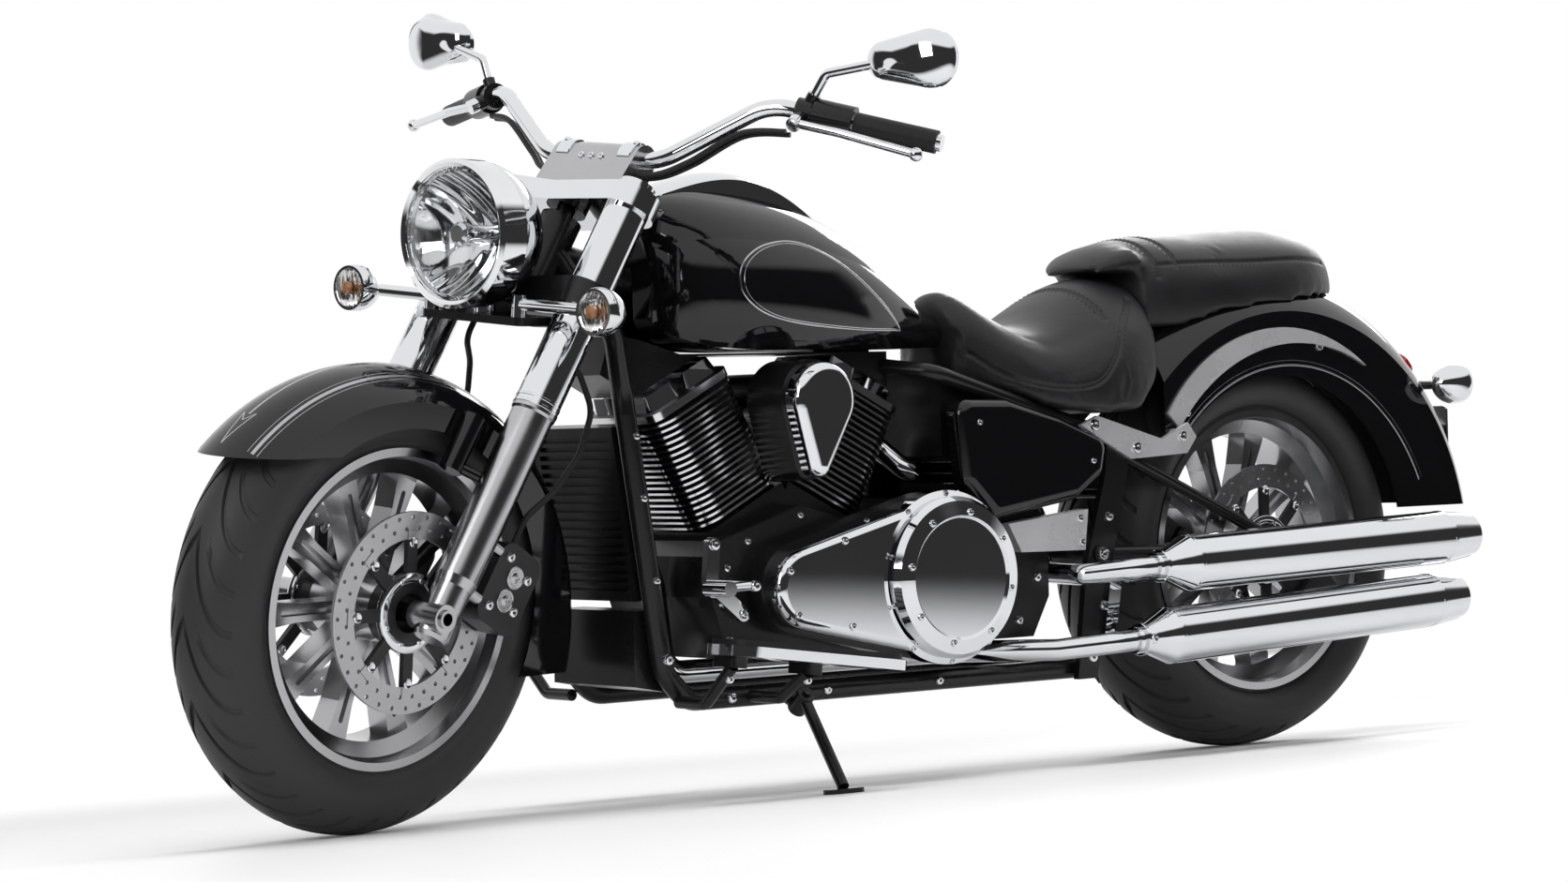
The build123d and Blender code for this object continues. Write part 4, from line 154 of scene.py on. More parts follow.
def ribs(made, scale):
    """A wave of upright ribs across the object."""
    place = made.node_tree.nodes.new("ShaderNodeTexCoord").outputs["Object"]
    texture = made.node_tree.nodes.new("ShaderNodeTexWave")
    texture.bands_direction = "Y"
    socket(texture, "Scale", scale)
    made.node_tree.links.new(place, texture.inputs["Vector"])
    return texture.outputs["Fac"]


def ranged(made, value, span, result=(0.0, 1.0), kind="LINEAR"):
    """Maps a value's span onto another span."""
    ramp = made.node_tree.nodes.new("ShaderNodeMapRange")
    ramp.interpolation_type = kind
    for name, limit in zip(("From Min", "From Max", "To Min", "To Max"), (*span, *result)):
        socket(ramp, name, limit)
    made.node_tree.links.new(value, ramp.inputs["Value"])
    return ramp.outputs["Result"]


def lifted(made, height, strength, rise):
    """Lets a height lift the finish; strength is a number or a socket."""
    link = made.node_tree.links.new
    bump = made.node_tree.nodes.new("ShaderNodeBump")
    socket(bump, "Distance", rise)
    if isinstance(strength, float):
        socket(bump, "Strength", strength)
    else:
        link(strength, bump.inputs["Strength"])
    link(height, bump.inputs["Height"])
    link(bump.outputs["Normal"], made.node_tree.nodes["Principled BSDF"].inputs["Normal"])


def mixed(made, factor, first, second, output):
    """Shows the second shader where the factor is 1 and the first where it is 0."""
    link = made.node_tree.links.new
    mix = made.node_tree.nodes.new("ShaderNodeMixShader")
    link(factor, mix.inputs["Fac"])
    link(first, mix.inputs[1])
    link(second, mix.inputs[2])
    link(mix.outputs["Shader"], made.node_tree.nodes[output].inputs["Surface"])


def material(
    name, colour, roughness,
    metallic=0.0, coat=0.0, grain=200.0, grain_depth=0.02, wear=0.15, tint=0.12, shine=0.5,
):
    """A procedural finish: colour and roughness vary with noise, and a fine grain lifts the surface."""
    made = bpy.data.materials.new(name)
    made.use_nodes = True
    nodes = made.node_tree.nodes
    link = made.node_tree.links.new
    shader = nodes["Principled BSDF"]
    socket(shader, "Metallic", metallic)
    socket(shader, "Coat Weight", coat)
    socket(shader, "Coat Roughness", COAT_ROUGHNESS)
    socket(shader, "Specular IOR Level", shine)
    place = nodes.new("ShaderNodeTexCoord").outputs["Object"]
    smudge = noise(made, place, SMUDGE_SCALE, 4.0)
    worn = (roughness * (1 - wear), roughness * (1 + wear))
    link(ranged(made, smudge, SMUDGE_SPAN, worn), shader.inputs["Roughness"])
    shade = nodes.new("ShaderNodeMix")
    shade.data_type = "RGBA"
    socket(shade, "A", (*[channel * (1 - tint) for channel in colour], 1))
    socket(shade, "B", (*[min(1, channel * (1 + tint)) for channel in colour], 1))
    link(smudge, shade.inputs["Factor"])
    link(shade.outputs["Result"], shader.inputs["Base Color"])
    lifted(made, noise(made, place, grain, 3.0), grain_depth, GRAIN_RISE)
    return made


def clear_material(name, colour, roughness, flutes=0.0):
    """Clear glass or plastic; flutes gives the moulded ribs' depth."""
    made = material(name, colour, roughness, grain=300.0, grain_depth=0.01)
    shader = made.node_tree.nodes["Principled BSDF"]
    socket(shader, "Transmission Weight", 1.0)
    socket(shader, "IOR", 1.45)
    if flutes:
        lifted(made, ribs(made, LENS_RIBS), flutes, LENS_RIB_RISE)
    return made


def two_tone(made, factor, colour, metallic, roughness):
    """Lets a second finish take over where the factor is 1."""
    nodes = made.node_tree.nodes
    second = nodes.new("ShaderNodeBsdfPrincipled")
    socket(second, "Base Color", (*colour, 1))
    socket(second, "Metallic", metallic)
    socket(second, "Roughness", roughness)
    first = nodes["Principled BSDF"]
    mixed(made, factor, first.outputs["BSDF"], second.outputs["BSDF"], "Material Output")
    return made


def vector_math(made, operation, first, second):
    node = made.node_tree.nodes.new("ShaderNodeVectorMath")
    node.operation = operation
    for index, value in enumerate((first, second)):
        if isinstance(value, (Vector, tuple)):
            node.inputs[index].default_value = tuple(value)
        elif value is not None:
            made.node_tree.links.new(value, node.inputs[index])
    scalar = operation in ("LENGTH", "DOT_PRODUCT")
    return node.outputs["Value" if scalar else "Vector"]


def plain_math(made, operation, first, second=None):
    node = made.node_tree.nodes.new("ShaderNodeMath")
    node.operation = operation
    for index, value in enumerate((first, second)):
        if isinstance(value, (int, float)):
            node.inputs[index].default_value = value
        elif value is not None:
            made.node_tree.links.new(value, node.inputs[index])
    return node.outputs["Value"]


def off_axis(made, place, axis):
    """How far a point of the surface lies from a line, in metres."""
    where = made.node_tree.nodes.new("ShaderNodeTexCoord").outputs["Object"]
    arm = vector_math(made, "SUBTRACT", where, place)
    return vector_math(made, "LENGTH", vector_math(made, "CROSS_PRODUCT", arm, axis), None)


def disc_material(name, joint):
    """Brushed steel on the swept band and black paint on the carrier inside it."""
    made = material(name, (0.44, 0.44, 0.45), 0.26, metallic=1.0, grain=900.0, grain_depth=0.06)
    reach = off_axis(made, joint_place(joint), joint_axis(joint))
    inside = plain_math(made, "LESS_THAN", reach, DISC_R - DISC_BAND - 0.0005)
    return two_tone(made, inside, (0.012, 0.012, 0.013), 0.3, 0.35)


def fin_material():
    """Black fins whose machined edges are bare metal."""
    dark = (0.014, 0.014, 0.015)
    made = material("black_fin_alloy", dark, 0.36, metallic=0.3, grain=800.0, grain_depth=0.08)
    nodes = made.node_tree.nodes
    facing = nodes.new("ShaderNodeTexCoord").outputs["Normal"]
    where = nodes.new("ShaderNodeTexCoord").outputs["Object"]
    crank = BIKE @ CRANK
    arm = vector_math(made, "SUBTRACT", where, crank)
    forward = vector_math(made, "DOT_PRODUCT", arm, turn_of(BIKE, (1, 0, 0)))
    ahead = plain_math(made, "GREATER_THAN", forward, 0.0)
    edges = []
    for lean in (-V_HALF, V_HALF):
        up = turn_of(BIKE, (math.sin(lean), 0, math.cos(lean)))
        along = plain_math(made, "ABSOLUTE", vector_math(made, "DOT_PRODUCT", facing, up))
        rim = plain_math(made, "LESS_THAN", along, 0.3)
        outside = plain_math(made, "GREATER_THAN", off_axis(made, crank, up), FIN_FACE_R)
        edges.append(plain_math(made, "MULTIPLY", rim, outside))
    pick = nodes.new("ShaderNodeMix")
    made.node_tree.links.new(ahead, pick.inputs["Factor"])
    made.node_tree.links.new(edges[0], pick.inputs["A"])
    made.node_tree.links.new(edges[1], pick.inputs["B"])
    return two_tone(made, pick.outputs["Result"], (0.7, 0.7, 0.71), 1.0, 0.16)


def reflector_material():
    """Chrome whose bowl, inside the lamp's rim, is moulded in upright flutes."""
    made = material("fluted_reflector", (0.78, 0.79, 0.8), 0.05, metallic=1.0)
    reach = off_axis(made, FRONT @ LAMP, turn_of(FRONT, (1, 0, 0)))
    inside = plain_math(made, "LESS_THAN", reach, LAMP_BOWL_R)
    lifted(made, ribs(made, REFLECTOR_RIBS), inside, REFLECTOR_RIB_RISE)
    return made


# A slot's colour and roughness, then what differs from a plain material.
PLAIN_LOOKS = {
    "chrome": (
        (0.74, 0.75, 0.77), 0.035, {"metallic": 1.0, "grain": 60.0, "grain_depth": 0.003, "tint": 0.03},
    ),
    "brushed_alloy": ((0.47, 0.47, 0.48), 0.2, {"metallic": 1.0, "grain": 900.0, "grain_depth": 0.04}),
    "gloss_black_paint": ((0.003, 0.003, 0.0035), 0.06, {"grain": 1200.0, "grain_depth": 0.006}),
    "satin_black_paint": ((0.006, 0.006, 0.0065), 0.25, {"grain": 700.0, "grain_depth": 0.08, "shine": 0.35}),
    "caliper_black": ((0.008, 0.008, 0.009), 0.3, {"grain": 600.0, "grain_depth": 0.1, "shine": 0.4}),
    "axle_steel": ((0.45, 0.45, 0.46), 0.22, {"metallic": 1.0}),
    "tyre_rubber": (
        (0.027, 0.027, 0.028), 0.5, {"grain": 500.0, "grain_depth": 0.2, "wear": 0.1, "shine": 0.3},
    ),
    "black_rubber": ((0.01, 0.01, 0.01), 0.5, {"grain": 500.0, "grain_depth": 0.2, "shine": 0.3}),
    "black_leather": ((0.0105, 0.0105, 0.0115), 0.4, {"grain": 420.0, "grain_depth": 0.35, "shine": 0.35}),
    "red_lens": ((0.3, 0.004, 0.005), 0.1, {"coat": 0.6}),
}
FINISHES = {slot: material(slot, *look[:2], **look[2]) for slot, look in PLAIN_LOOKS.items()}
FINISHES["black_fin_alloy"] = fin_material()
FINISHES["disc_steel"] = disc_material("disc_steel", "front_wheel_spin")
FINISHES["clear_glass"] = clear_material("clear_glass", (0.98, 0.99, 1.0), 0.01)
FINISHES["clear_lens"] = clear_material("clear_lens", (0.98, 0.94, 0.9), 0.03, flutes=0.25)
AMBER = material("amber_bulb", (0.5, 0.22, 0.09), 0.3)
SATIN_TRIM = material("satin_trim", (0.62, 0.62, 0.63), 0.28, metallic=0.55, grain=900.0, grain_depth=0.03)

# The few nodes whose look differs from the rest of their slot.
OWN_FINISHES = {
    "rear_disc": disc_material("rear_disc_steel", "rear_wheel_spin"),
    "headlamp_ring": reflector_material(),
    "headlamp_shell": FINISHES["chrome"],
    "exhaust_headers": FINISHES["chrome"],
    "riser_clamp": FINISHES["brushed_alloy"],
    "chrome_trims": SATIN_TRIM,
}


def paint_frame():
    """Gives every CAD node the finish of its material slot."""
    for part in frame["record"]["subparts"]:
        node = frame["nodes"][part["node"]]
        for holder in node.material_slots:
            holder.material = FINISHES[part["material_slot"]]
    for name, finish in OWN_FINISHES.items():
        for holder in frame["nodes"][name].material_slots:
            holder.material = finish


paint_frame()


# --- Ways of making pieces -------------------------------------------
SHARP = math.radians(38)


def piece(name, body, finish, verts, faces):
    """A mesh piece in world metres, finished from a material slot and riding on a body."""
    data = bpy.data.meshes.new(name)
    data.from_pydata([tuple(v) for v in verts], [], faces)
    made = bpy.data.objects.new(name, data)
    bpy.context.collection.objects.link(made)
    data.materials.append(FINISHES[finish])
    work = bmesh.new()
    work.from_mesh(data)
    bmesh.ops.recalc_face_normals(work, faces=work.faces)
    work.to_mesh(data)
    work.free()
    for face in data.polygons:
        face.use_smooth = True
    data.set_sharp_from_angle(angle=SHARP)
    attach(made, body)
    return made


def tree_of(data):
    """A mesh's surface, to lay things on."""
    return BVHTree.FromPolygons([v.co for v in data.vertices], [tuple(p.vertices) for p in data.polygons])


def walls(rings, sides):
    """The faces between rings of points, each ring having as many points as there are sides."""
    faces = []
    for ring in range(rings - 1):
        for step in range(sides):
            after = (step + 1) % sides
            a, b = ring * sides + step, ring * sides + after
            faces.append((a, b, b + sides, a + sides))
    return faces


def caps(rings, sides):
    """The faces that close the first and the last ring."""
    return [tuple(reversed(range(sides))), tuple(range((rings - 1) * sides, rings * sides))]


def lathe(profile, place, axis, sides, hex_from=None):
    """Rings of (along, radius) turned about the axis; hex_from makes the rings from there on six-sided."""
    axis = Vector(axis).normalized()
    across = axis.orthogonal().normalized()
    other = axis.cross(across)
    verts = []
    for ring, (up, radius) in enumerate(profile):
        for step in range(sides):
            angle = 2 * math.pi * step / sides
            reach = radius
            if hex_from is not None and ring >= hex_from:
                reach = radius * math.cos(math.pi / 6) / math.cos(angle % (math.pi / 3) - math.pi / 6)
            around = across * math.cos(angle) + other * math.sin(angle)
            verts.append(Vector(place) + axis * up + around * reach)
    return verts, walls(len(profile), sides) + caps(len(profile), sides)


def ring_shape(profile, place, axis, sides):
    """A closed ring whose section is the profile, turned about the axis."""
    verts, _ = lathe(profile, place, axis, sides)
    faces = walls(len(profile), sides)
    last = (len(profile) - 1) * sides
    for step in range(sides):
        after = (step + 1) % sides
        faces.append((last + step, last + after, after, step))
    return verts, faces


def tube(line, radius):
    """A round tube along a smooth line."""
    sides = 12
    verts = []
    turned = None
    for index, place in enumerate(line):
        ahead = (line[min(index + 1, len(line) - 1)] - line[max(index - 1, 0)]).normalized()
        across = (turned - ahead * turned.dot(ahead) if turned else ahead.orthogonal()).normalized()
        turned = across
        other = ahead.cross(across)
        for step in range(sides):
            angle = 2 * math.pi * step / sides
            verts.append(place + (across * math.cos(angle) + other * math.sin(angle)) * radius)
    return verts, walls(len(line), sides) + caps(len(line), sides)


def joined(name, body, finish, shapes):
    """One piece from many (verts, faces) shapes."""
    verts, faces = [], []
    for more_verts, more_faces in shapes:
        start = len(verts)
        verts.extend(more_verts)
        faces.extend(tuple(index + start for index in face) for face in more_faces)
    return piece(name, body, finish, verts, faces)


# A cap screw's rings as shares of its radius: (along, radius); the socket starts at its own ring.
SCREW_RINGS = ((-0.3, 1.0), (0.25, 1.0), (0.5, 0.86), (0.6, 0.52), (0.58, 0.46), (0.15, 0.44))
SCREW_SOCKET = 4


def bolt(place, facing, radius):
    """A domed cap screw with a hexagonal socket."""
    rings = [(radius * along, radius * share) for along, share in SCREW_RINGS]
    return lathe(rings, place, facing, 12, hex_from=SCREW_SOCKET)


def cast(tree, motion, point, inwards):
    """Where a ray from the upright motorcycle's point meets the surface: place and normal."""
    start = motion @ Vector(point)
    aim = turn_of(motion, inwards)
    place, normal, _, _ = tree.ray_cast(start, aim)
    if place is not None and normal.dot(aim) > 0:
        normal = -normal
    return place, normal


def side_bolts(name, body, node, motion, spots):
    """Bolts laid on both sides of a node at (x, z, radius)."""
    tree = tree_of(frame["nodes"][node].data)
    shapes = []
    for x, z, radius in spots:
        for side in (1, -1):
            place, _ = cast(tree, motion, (x, side * 0.7, z), (0, -side, 0))
            if place is not None:
                shapes.append(bolt(place, turn_of(motion, (0, side, 0)), radius))
    joined(name, body, "chrome", shapes)


def smooth_line(points, step, closed=False):
    """A Catmull-Rom line through the points, sampled about every step."""
    points = [Vector(p) for p in points]
    count = len(points)
    out = []

    def at(index):
        return points[index % count] if closed else points[min(max(index, 0), count - 1)]

    for run in range(count if closed else count - 1):
        p0, p1, p2, p3 = at(run - 1), at(run), at(run + 1), at(run + 2)
        square = 2 * p0 - 5 * p1 + 4 * p2 - p3
        cube = 3 * p1 - p0 - 3 * p2 + p3
        parts = max(2, int((p2 - p1).length / step))
        for part in range(parts):
            t = part / parts
            out.append(0.5 * (2 * p1 + (p2 - p0) * t + square * t**2 + cube * t**3))
    if not closed:
        out.append(points[-1])
    return out


RIBBON_LANES = 3
RIBBON_FOOT = 0.00005
STRIPE_RISE = 0.0004


def ribbon(places, normals, width, rise, closed=False):
    """A low crowned strip along places on a surface."""
    verts, faces = [], []
    count = len(places)
    for index in range(count):
        before = places[(index - 1) % count] if closed or index else places[index]
        after = places[(index + 1) % count] if closed or index < count - 1 else places[index]
        beside = (after - before).cross(normals[index]).normalized()
        for share, lift in ((-0.5, RIBBON_FOOT), (-0.3, rise), (0.3, rise), (0.5, RIBBON_FOOT)):
            verts.append(places[index] + beside * width * share + normals[index] * lift)
    for index in range(count if closed else count - 1):
        after = (index + 1) % count
        for lane in range(RIBBON_LANES):
            a, b = index * (RIBBON_LANES + 1) + lane, after * (RIBBON_LANES + 1) + lane
            faces.append((a, a + 1, b + 1, b))
    return verts, faces


def laid(tree, motion, line, inwards):
    """Places and normals where a line drawn outside a surface falls on it."""
    places, normals = [], []
    for point in line:
        place, normal = cast(tree, motion, point, inwards(point) if callable(inwards) else inwards)
        if place is not None:
            places.append(place)
            normals.append(normal)
    return places, normals


def stripe(tree, motion, line, inwards, width, closed=False):
    """A ribbon laid on the surface along a line drawn outside it."""
    places, normals = laid(tree, motion, line, inwards)
    return ribbon(places, normals, width, STRIPE_RISE, closed)


# --- Tyres with their tread ------------------------------------------
# Along the tread, as shares of a pitch.
GROOVE = 0.1
GROOVE_WALL = 0.012
GROOVE_WIDEN = 1.1
SIDE_STAGGER = 0.25
SWEEP_POWER = 1.7
# Across it: the share of its half width where each groove starts, and the groove's share of the depth.
GROOVES = ((0.05, 1.0), (0.4, 0.8))
GROOVE_END = 0.98
TREAD_SHARE = 0.9
TREAD_ROWS = 14
TREAD_PARTS = 4
# The section's bead and carcass, in metres, and the wall's raised lines by its points.
BEAD_INSET = 0.0053
BEAD_RISE = 0.004
BEAD_SINK = 0.0065
BEAD_WIDE = 0.012
CARCASS = 0.016
WALL_PARTS = 8
WALL_LINES = {2: 0.0008, 5: 0.0007}


def tread_columns():
    """(place in the pitch, which groove it floors, offset from that groove's middle)."""
    columns = []
    half = GROOVE / 2
    floor_half = half - GROOVE_WALL
    for groove in (0, 1):
        middle = 0.5 * groove
        for offset, floors in ((-half, None), (-floor_half, groove), (floor_half, groove), (half, None)):
            columns.append((middle, floors, offset))
        for part in range(1, TREAD_PARTS):
            columns.append((middle + half + (0.5 - GROOVE) * part / TREAD_PARTS, None, 0.0))
    return columns


def sweep(share):
    """How far round a groove has run, from 0 at the middle of the tread to 1 at its shoulder."""
    return 1 - (1 - share) ** SWEEP_POWER


def groove_drop(groove, share, depth):
    """How deep a column lies at a share of the tread's half width."""
    if groove is None:
        return 0.0
    start, deep = GROOVES[groove]
    return depth * deep if start < share < GROOVE_END else 0.0


def arc_through(a, b, c, count):
    """Points along the circle through three points of a plane."""
    (ax, ay), (bx, by), (cx, cy) = a, b, c
    aa, bb, cc = ax * ax + ay * ay, bx * bx + by * by, cx * cx + cy * cy
    d = 2 * (ax * (by - cy) + bx * (cy - ay) + cx * (ay - by))
    ux = (aa * (by - cy) + bb * (cy - ay) + cc * (ay - by)) / d
    uy = (aa * (cx - bx) + bb * (ax - cx) + cc * (bx - ax)) / d
    start, end = math.atan2(ay - uy, ax - ux), math.atan2(cy - uy, cx - ux)
    turn = (end - start + math.pi) % (2 * math.pi) - math.pi
    radius = math.hypot(ax - ux, ay - uy)
    angles = [start + turn * i / count for i in range(count + 1)]
    return [(ux + radius * math.cos(angle), uy + radius * math.sin(angle)) for angle in angles]


def tyre_section(outer, half, crown, rim, rim_half):
    """(y, radius) round the section, then the first row of the tread and the row after its last."""
    edge = half * TREAD_SHARE
    shoulder = outer - (crown - math.sqrt(crown**2 - edge**2))
    across = [edge * row / TREAD_ROWS for row in range(-TREAD_ROWS, TREAD_ROWS + 1)]
    tread = [(y, outer - crown + math.sqrt(crown**2 - y**2)) for y in across]
    bead = rim_half - BEAD_INSET
    widest = (half, (shoulder + rim) / 2)
    wall = arc_through((edge, shoulder), widest, (bead, rim + BEAD_RISE), WALL_PARTS)[1:]
    wall = [(y + WALL_LINES.get(i, 0), r) for i, (y, r) in enumerate(wall)]
    lip = bead - BEAD_WIDE
    seat = rim - BEAD_SINK
    inner = [(bead, seat), (lip, seat), (0, outer - CARCASS), (-lip, seat), (-bead, seat)]
    loop = [(-y, r) for y, r in reversed(wall)] + tread + wall + inner
    return loop, len(wall), len(wall) + len(tread)


def tyre(name, node, body, motion, axle, outer, half, crown, rim, rim_half, pitches, depth, slant):
    """A tyre whose rows run round its section and whose slanted columns follow the tread's grooves."""
    loop, first, end = tyre_section(outer, half, crown, rim, rim_half)
    columns = tread_columns()
    total = pitches * len(columns)
    verts, faces = [], []
    for row, (y, radius) in enumerate(loop):
        share = min(abs(y) / (half * TREAD_SHARE), 1.0)
        stagger = SIDE_STAGGER if y < 0 else 0.0
        turn = stagger * min(1, share * 4) - slant * sweep(share)
        widen = 1 + GROOVE_WIDEN * (1 - share)
        for pitch in range(pitches):
            for place, groove, offset in columns:
                reach = radius - (groove_drop(groove, share, depth) if first <= row < end else 0.0)
                angle = 2 * math.pi * (pitch + place + offset * widen + turn) / pitches
                verts.append(motion @ (axle + Vector((math.cos(angle) * reach, y, math.sin(angle) * reach))))
    for row in range(len(loop)):
        here, below = row * total, (row + 1) % len(loop) * total
        for column in range(total):
            after = (column + 1) % total
            faces.append((here + column, here + after, below + after, below + column))
    made = piece(name, body, "tyre_rubber", verts, faces)
    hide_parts(node)


tyre(
    "front_tyre_treaded", "front_tyre", "front_wheel", FRONT, FRONT_AXLE,
    outer=0.325, half=0.067, crown=0.072, rim=0.227, rim_half=0.06, pitches=17, depth=0.0045, slant=1.15,
)
tyre(
    "rear_tyre_treaded", "rear_tyre", "rear_wheel", BIKE, REAR_AXLE,
    outer=0.33, half=0.105, crown=0.15, rim=0.233, rim_half=0.086, pitches=16, depth=0.005, slant=1.35,
)


# --- Seats: padded, with sewn channels -------------------------------
SEAT_VOXEL = 0.009
SEAT_SMOOTHING = 9
SEAT_PRESSURE = 4.0
SEAT_FRAMES = 12
SEAT_PUFF = 0.004
SEAT_BASE = 0.35
SEAM_WIDE = 0.0045
SEAM_DEEP = 0.0028
SEAM_STEP = 0.003
STITCH_BESIDE = 0.0065
STITCH_WIDE = 0.0014
STITCH_RISE = 0.0007
STITCH_EVERY = 3


def apply_modifiers(made):
    depsgraph = bpy.context.evaluated_depsgraph_get()
    made.data = bpy.data.meshes.new_from_object(made.evaluated_get(depsgraph))
    made.modifiers.clear()


def foam(name, node):
    """The seat's solid, remeshed and smoothed, in leather."""
    made = bpy.data.objects.new(name, frame["nodes"][node].data.copy())
    bpy.context.collection.objects.link(made)
    made.data.materials.clear()
    made.data.materials.append(FINISHES["black_leather"])
    remesh = made.modifiers.new("remesh", "REMESH")
    remesh.mode = "VOXEL"
    remesh.voxel_size = SEAT_VOXEL
    ease = made.modifiers.new("ease", "SMOOTH")
    ease.factor = 0.5
    ease.iterations = SEAT_SMOOTHING
    apply_modifiers(made)
    return made


def blow_up(made):
    """Puffs the seat's upper side by cloth pressure, by no more than its cap."""
    start = [v.co.copy() for v in made.data.vertices]
    down = turn_of(BIKE, (0, 0, -1))
    pinned = made.vertex_groups.new(name="base")
    pinned.add([v.index for v in made.data.vertices if v.normal.dot(down) > SEAT_BASE], 1.0, "REPLACE")
    cloth = made.modifiers.new("cloth", "CLOTH")
    cloth.settings.use_pressure = True
    cloth.settings.uniform_pressure_force = SEAT_PRESSURE
    cloth.settings.effector_weights.gravity = 0.0
    cloth.settings.vertex_group_mass = "base"
    cloth.settings.quality = 4
    for step in range(1, SEAT_FRAMES + 1):
        bpy.context.scene.frame_set(step)
    apply_modifiers(made)
    bpy.context.scene.frame_set(1)
    for vertex, was in zip(made.data.vertices, start):
        move = vertex.co - was
        if move.length > SEAT_PUFF:
            vertex.co = was + move.normalized() * SEAT_PUFF


def press_seams(made, lines):
    """Sinks the leather along the seams' places."""
    marks = kdtree.KDTree(sum(len(places) for places, _ in lines))
    for index, place in enumerate(p for places, _ in lines for p in places):
        marks.insert(place, index)
    marks.balance()
    facing = [v.normal.copy() for v in made.data.vertices]
    for vertex, normal in zip(made.data.vertices, facing):
        _, _, gap = marks.find(vertex.co)
        if gap < 4 * SEAM_WIDE:
            vertex.co -= normal * (SEAM_DEEP * math.exp(-((gap / SEAM_WIDE) ** 2)))


def stitches(lines):
    """Short ribbons in a row on both sides of each seam."""
    shapes = []
    for places, normals in lines:
        for side in (-1, 1):
            run = []
            for index in range(1, len(places) - 1):
                beside = (places[index + 1] - places[index - 1]).cross(normals[index]).normalized()
                run.append(places[index] + beside * side * STITCH_BESIDE)
            for index in range(0, len(run) - 2, STITCH_EVERY):
                ends = slice(index, index + 2)
                shapes.append(ribbon(run[ends], normals[index + 1:index + 3], STITCH_WIDE, STITCH_RISE))
    return shapes


def cushion(name, node, body, seams):
    """Leather over foam: the solid remeshed, blown up a little by cloth pressure, then sewn."""
    made = foam(name, node)
    blow_up(made)
    divide = made.modifiers.new("divide", "SUBSURF")
    divide.levels = 2
    divide.render_levels = 2
    apply_modifiers(made)
    tree = tree_of(made.data)
    lines = [laid(tree, BIKE, smooth_line(line, SEAM_STEP), aim) for line, aim in seams]
    press_seams(made, lines)
    for face in made.data.polygons:
        face.use_smooth = True
    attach(made, body)
    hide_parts(node)
    joined(name + "_stitches", body, "black_leather", stitches(lines))


def both_sides(line, y):
    """The same side-view line on the left and on the right."""
    return [([(x, side * y, z) for x, z in line], (0, -side, 0)) for side in (1, -1)]


def over_seat(x, half):
    """A seam across the seat from above, half given in centimetres."""
    return ([(x, y / 100, 1.0) for y in range(-half, half + 1, 2)], (0, 0, -1))


# Side views of the welts: (x, z).
RIDER_WELT = (
    (-0.222, 0.664), (-0.27, 0.625), (-0.34, 0.606), (-0.41, 0.612),
    (-0.458, 0.65), (-0.497, 0.704), (-0.548, 0.748),
)
PILLION_WELT = ((-0.615, 0.802), (-0.7, 0.806), (-0.82, 0.808), (-0.93, 0.812), (-1.015, 0.808))
RIDER_SEAM_X = -0.47
STRAP_X = (-0.612, -0.652)
rider_seams = both_sides(RIDER_WELT, 0.3) + [over_seat(RIDER_SEAM_X, 13)]
pillion_seams = both_sides(PILLION_WELT, 0.3) + [over_seat(x, 11) for x in STRAP_X]
cushion("rider_cushion", "rider_seat", "chassis", rider_seams)
cushion("passenger_cushion", "passenger_seat", "chassis", pillion_seams)


# --- Pinstripes ------------------------------------------------------
# Seen from the side: (x, z).
TANK_LOOP = (
    (0.284, 0.772), (0.27, 0.803), (0.225, 0.826), (0.157, 0.831), (0.085, 0.806), (0.01, 0.757),
    (-0.062, 0.703), (-0.045, 0.699), (0.04, 0.7), (0.161, 0.709), (0.23, 0.722), (0.27, 0.744),
)
TANK_X, TANK_Z = 0.125, 0.765
# Each line's scale about that middle, and its width.
TANK_LINES = ((1.0, 0.0034), (0.955, 0.0014))
tank = tree_of(frame["nodes"]["fuel_tank"].data)
tank_lines = []
for side in (1, -1):
    for scale, width in TANK_LINES:
        loop = []
        for x, z in TANK_LOOP:
            loop.append((TANK_X + (x - TANK_X) * scale, side * 0.4, TANK_Z + (z - TANK_Z) * scale))
        line = smooth_line(loop, 0.004, closed=True)
        tank_lines.append(stripe(tank, BIKE, line, (0, -side, 0), width, closed=True))
joined("tank_pinstripes", "chassis", "brushed_alloy", tank_lines)

GUARD_MIDDLE = Vector((0.858, 0.0, 0.28))
GUARD_NOSE = 45
# Bands along the front guard: (y, width); then the spear's tip, from (y, angle) to (y, angle).
GUARD_BANDS = ((0.052, 0.005), (0.0455, 0.0014), (0.0585, 0.0014))
SPEAR_TIP = (((0.0, 7), (0.012, 9.5)), ((0.012, 9.5), (0.0, 0.0)))
TIP_PARTS = 8
TIP_WIDE = 0.0018
SPEAR_WIDE = 0.004
guard = tree_of(frame["nodes"]["front_mudguard"].data)


def round_guard(angle, y, reach=0.5):
    angle = math.radians(angle)
    return Vector((GUARD_MIDDLE.x + reach * math.cos(angle), y, GUARD_MIDDLE.z + reach * math.sin(angle)))


def to_guard(point):
    return Vector((GUARD_MIDDLE.x - point.x, 0, GUARD_MIDDLE.z - point.z)).normalized()


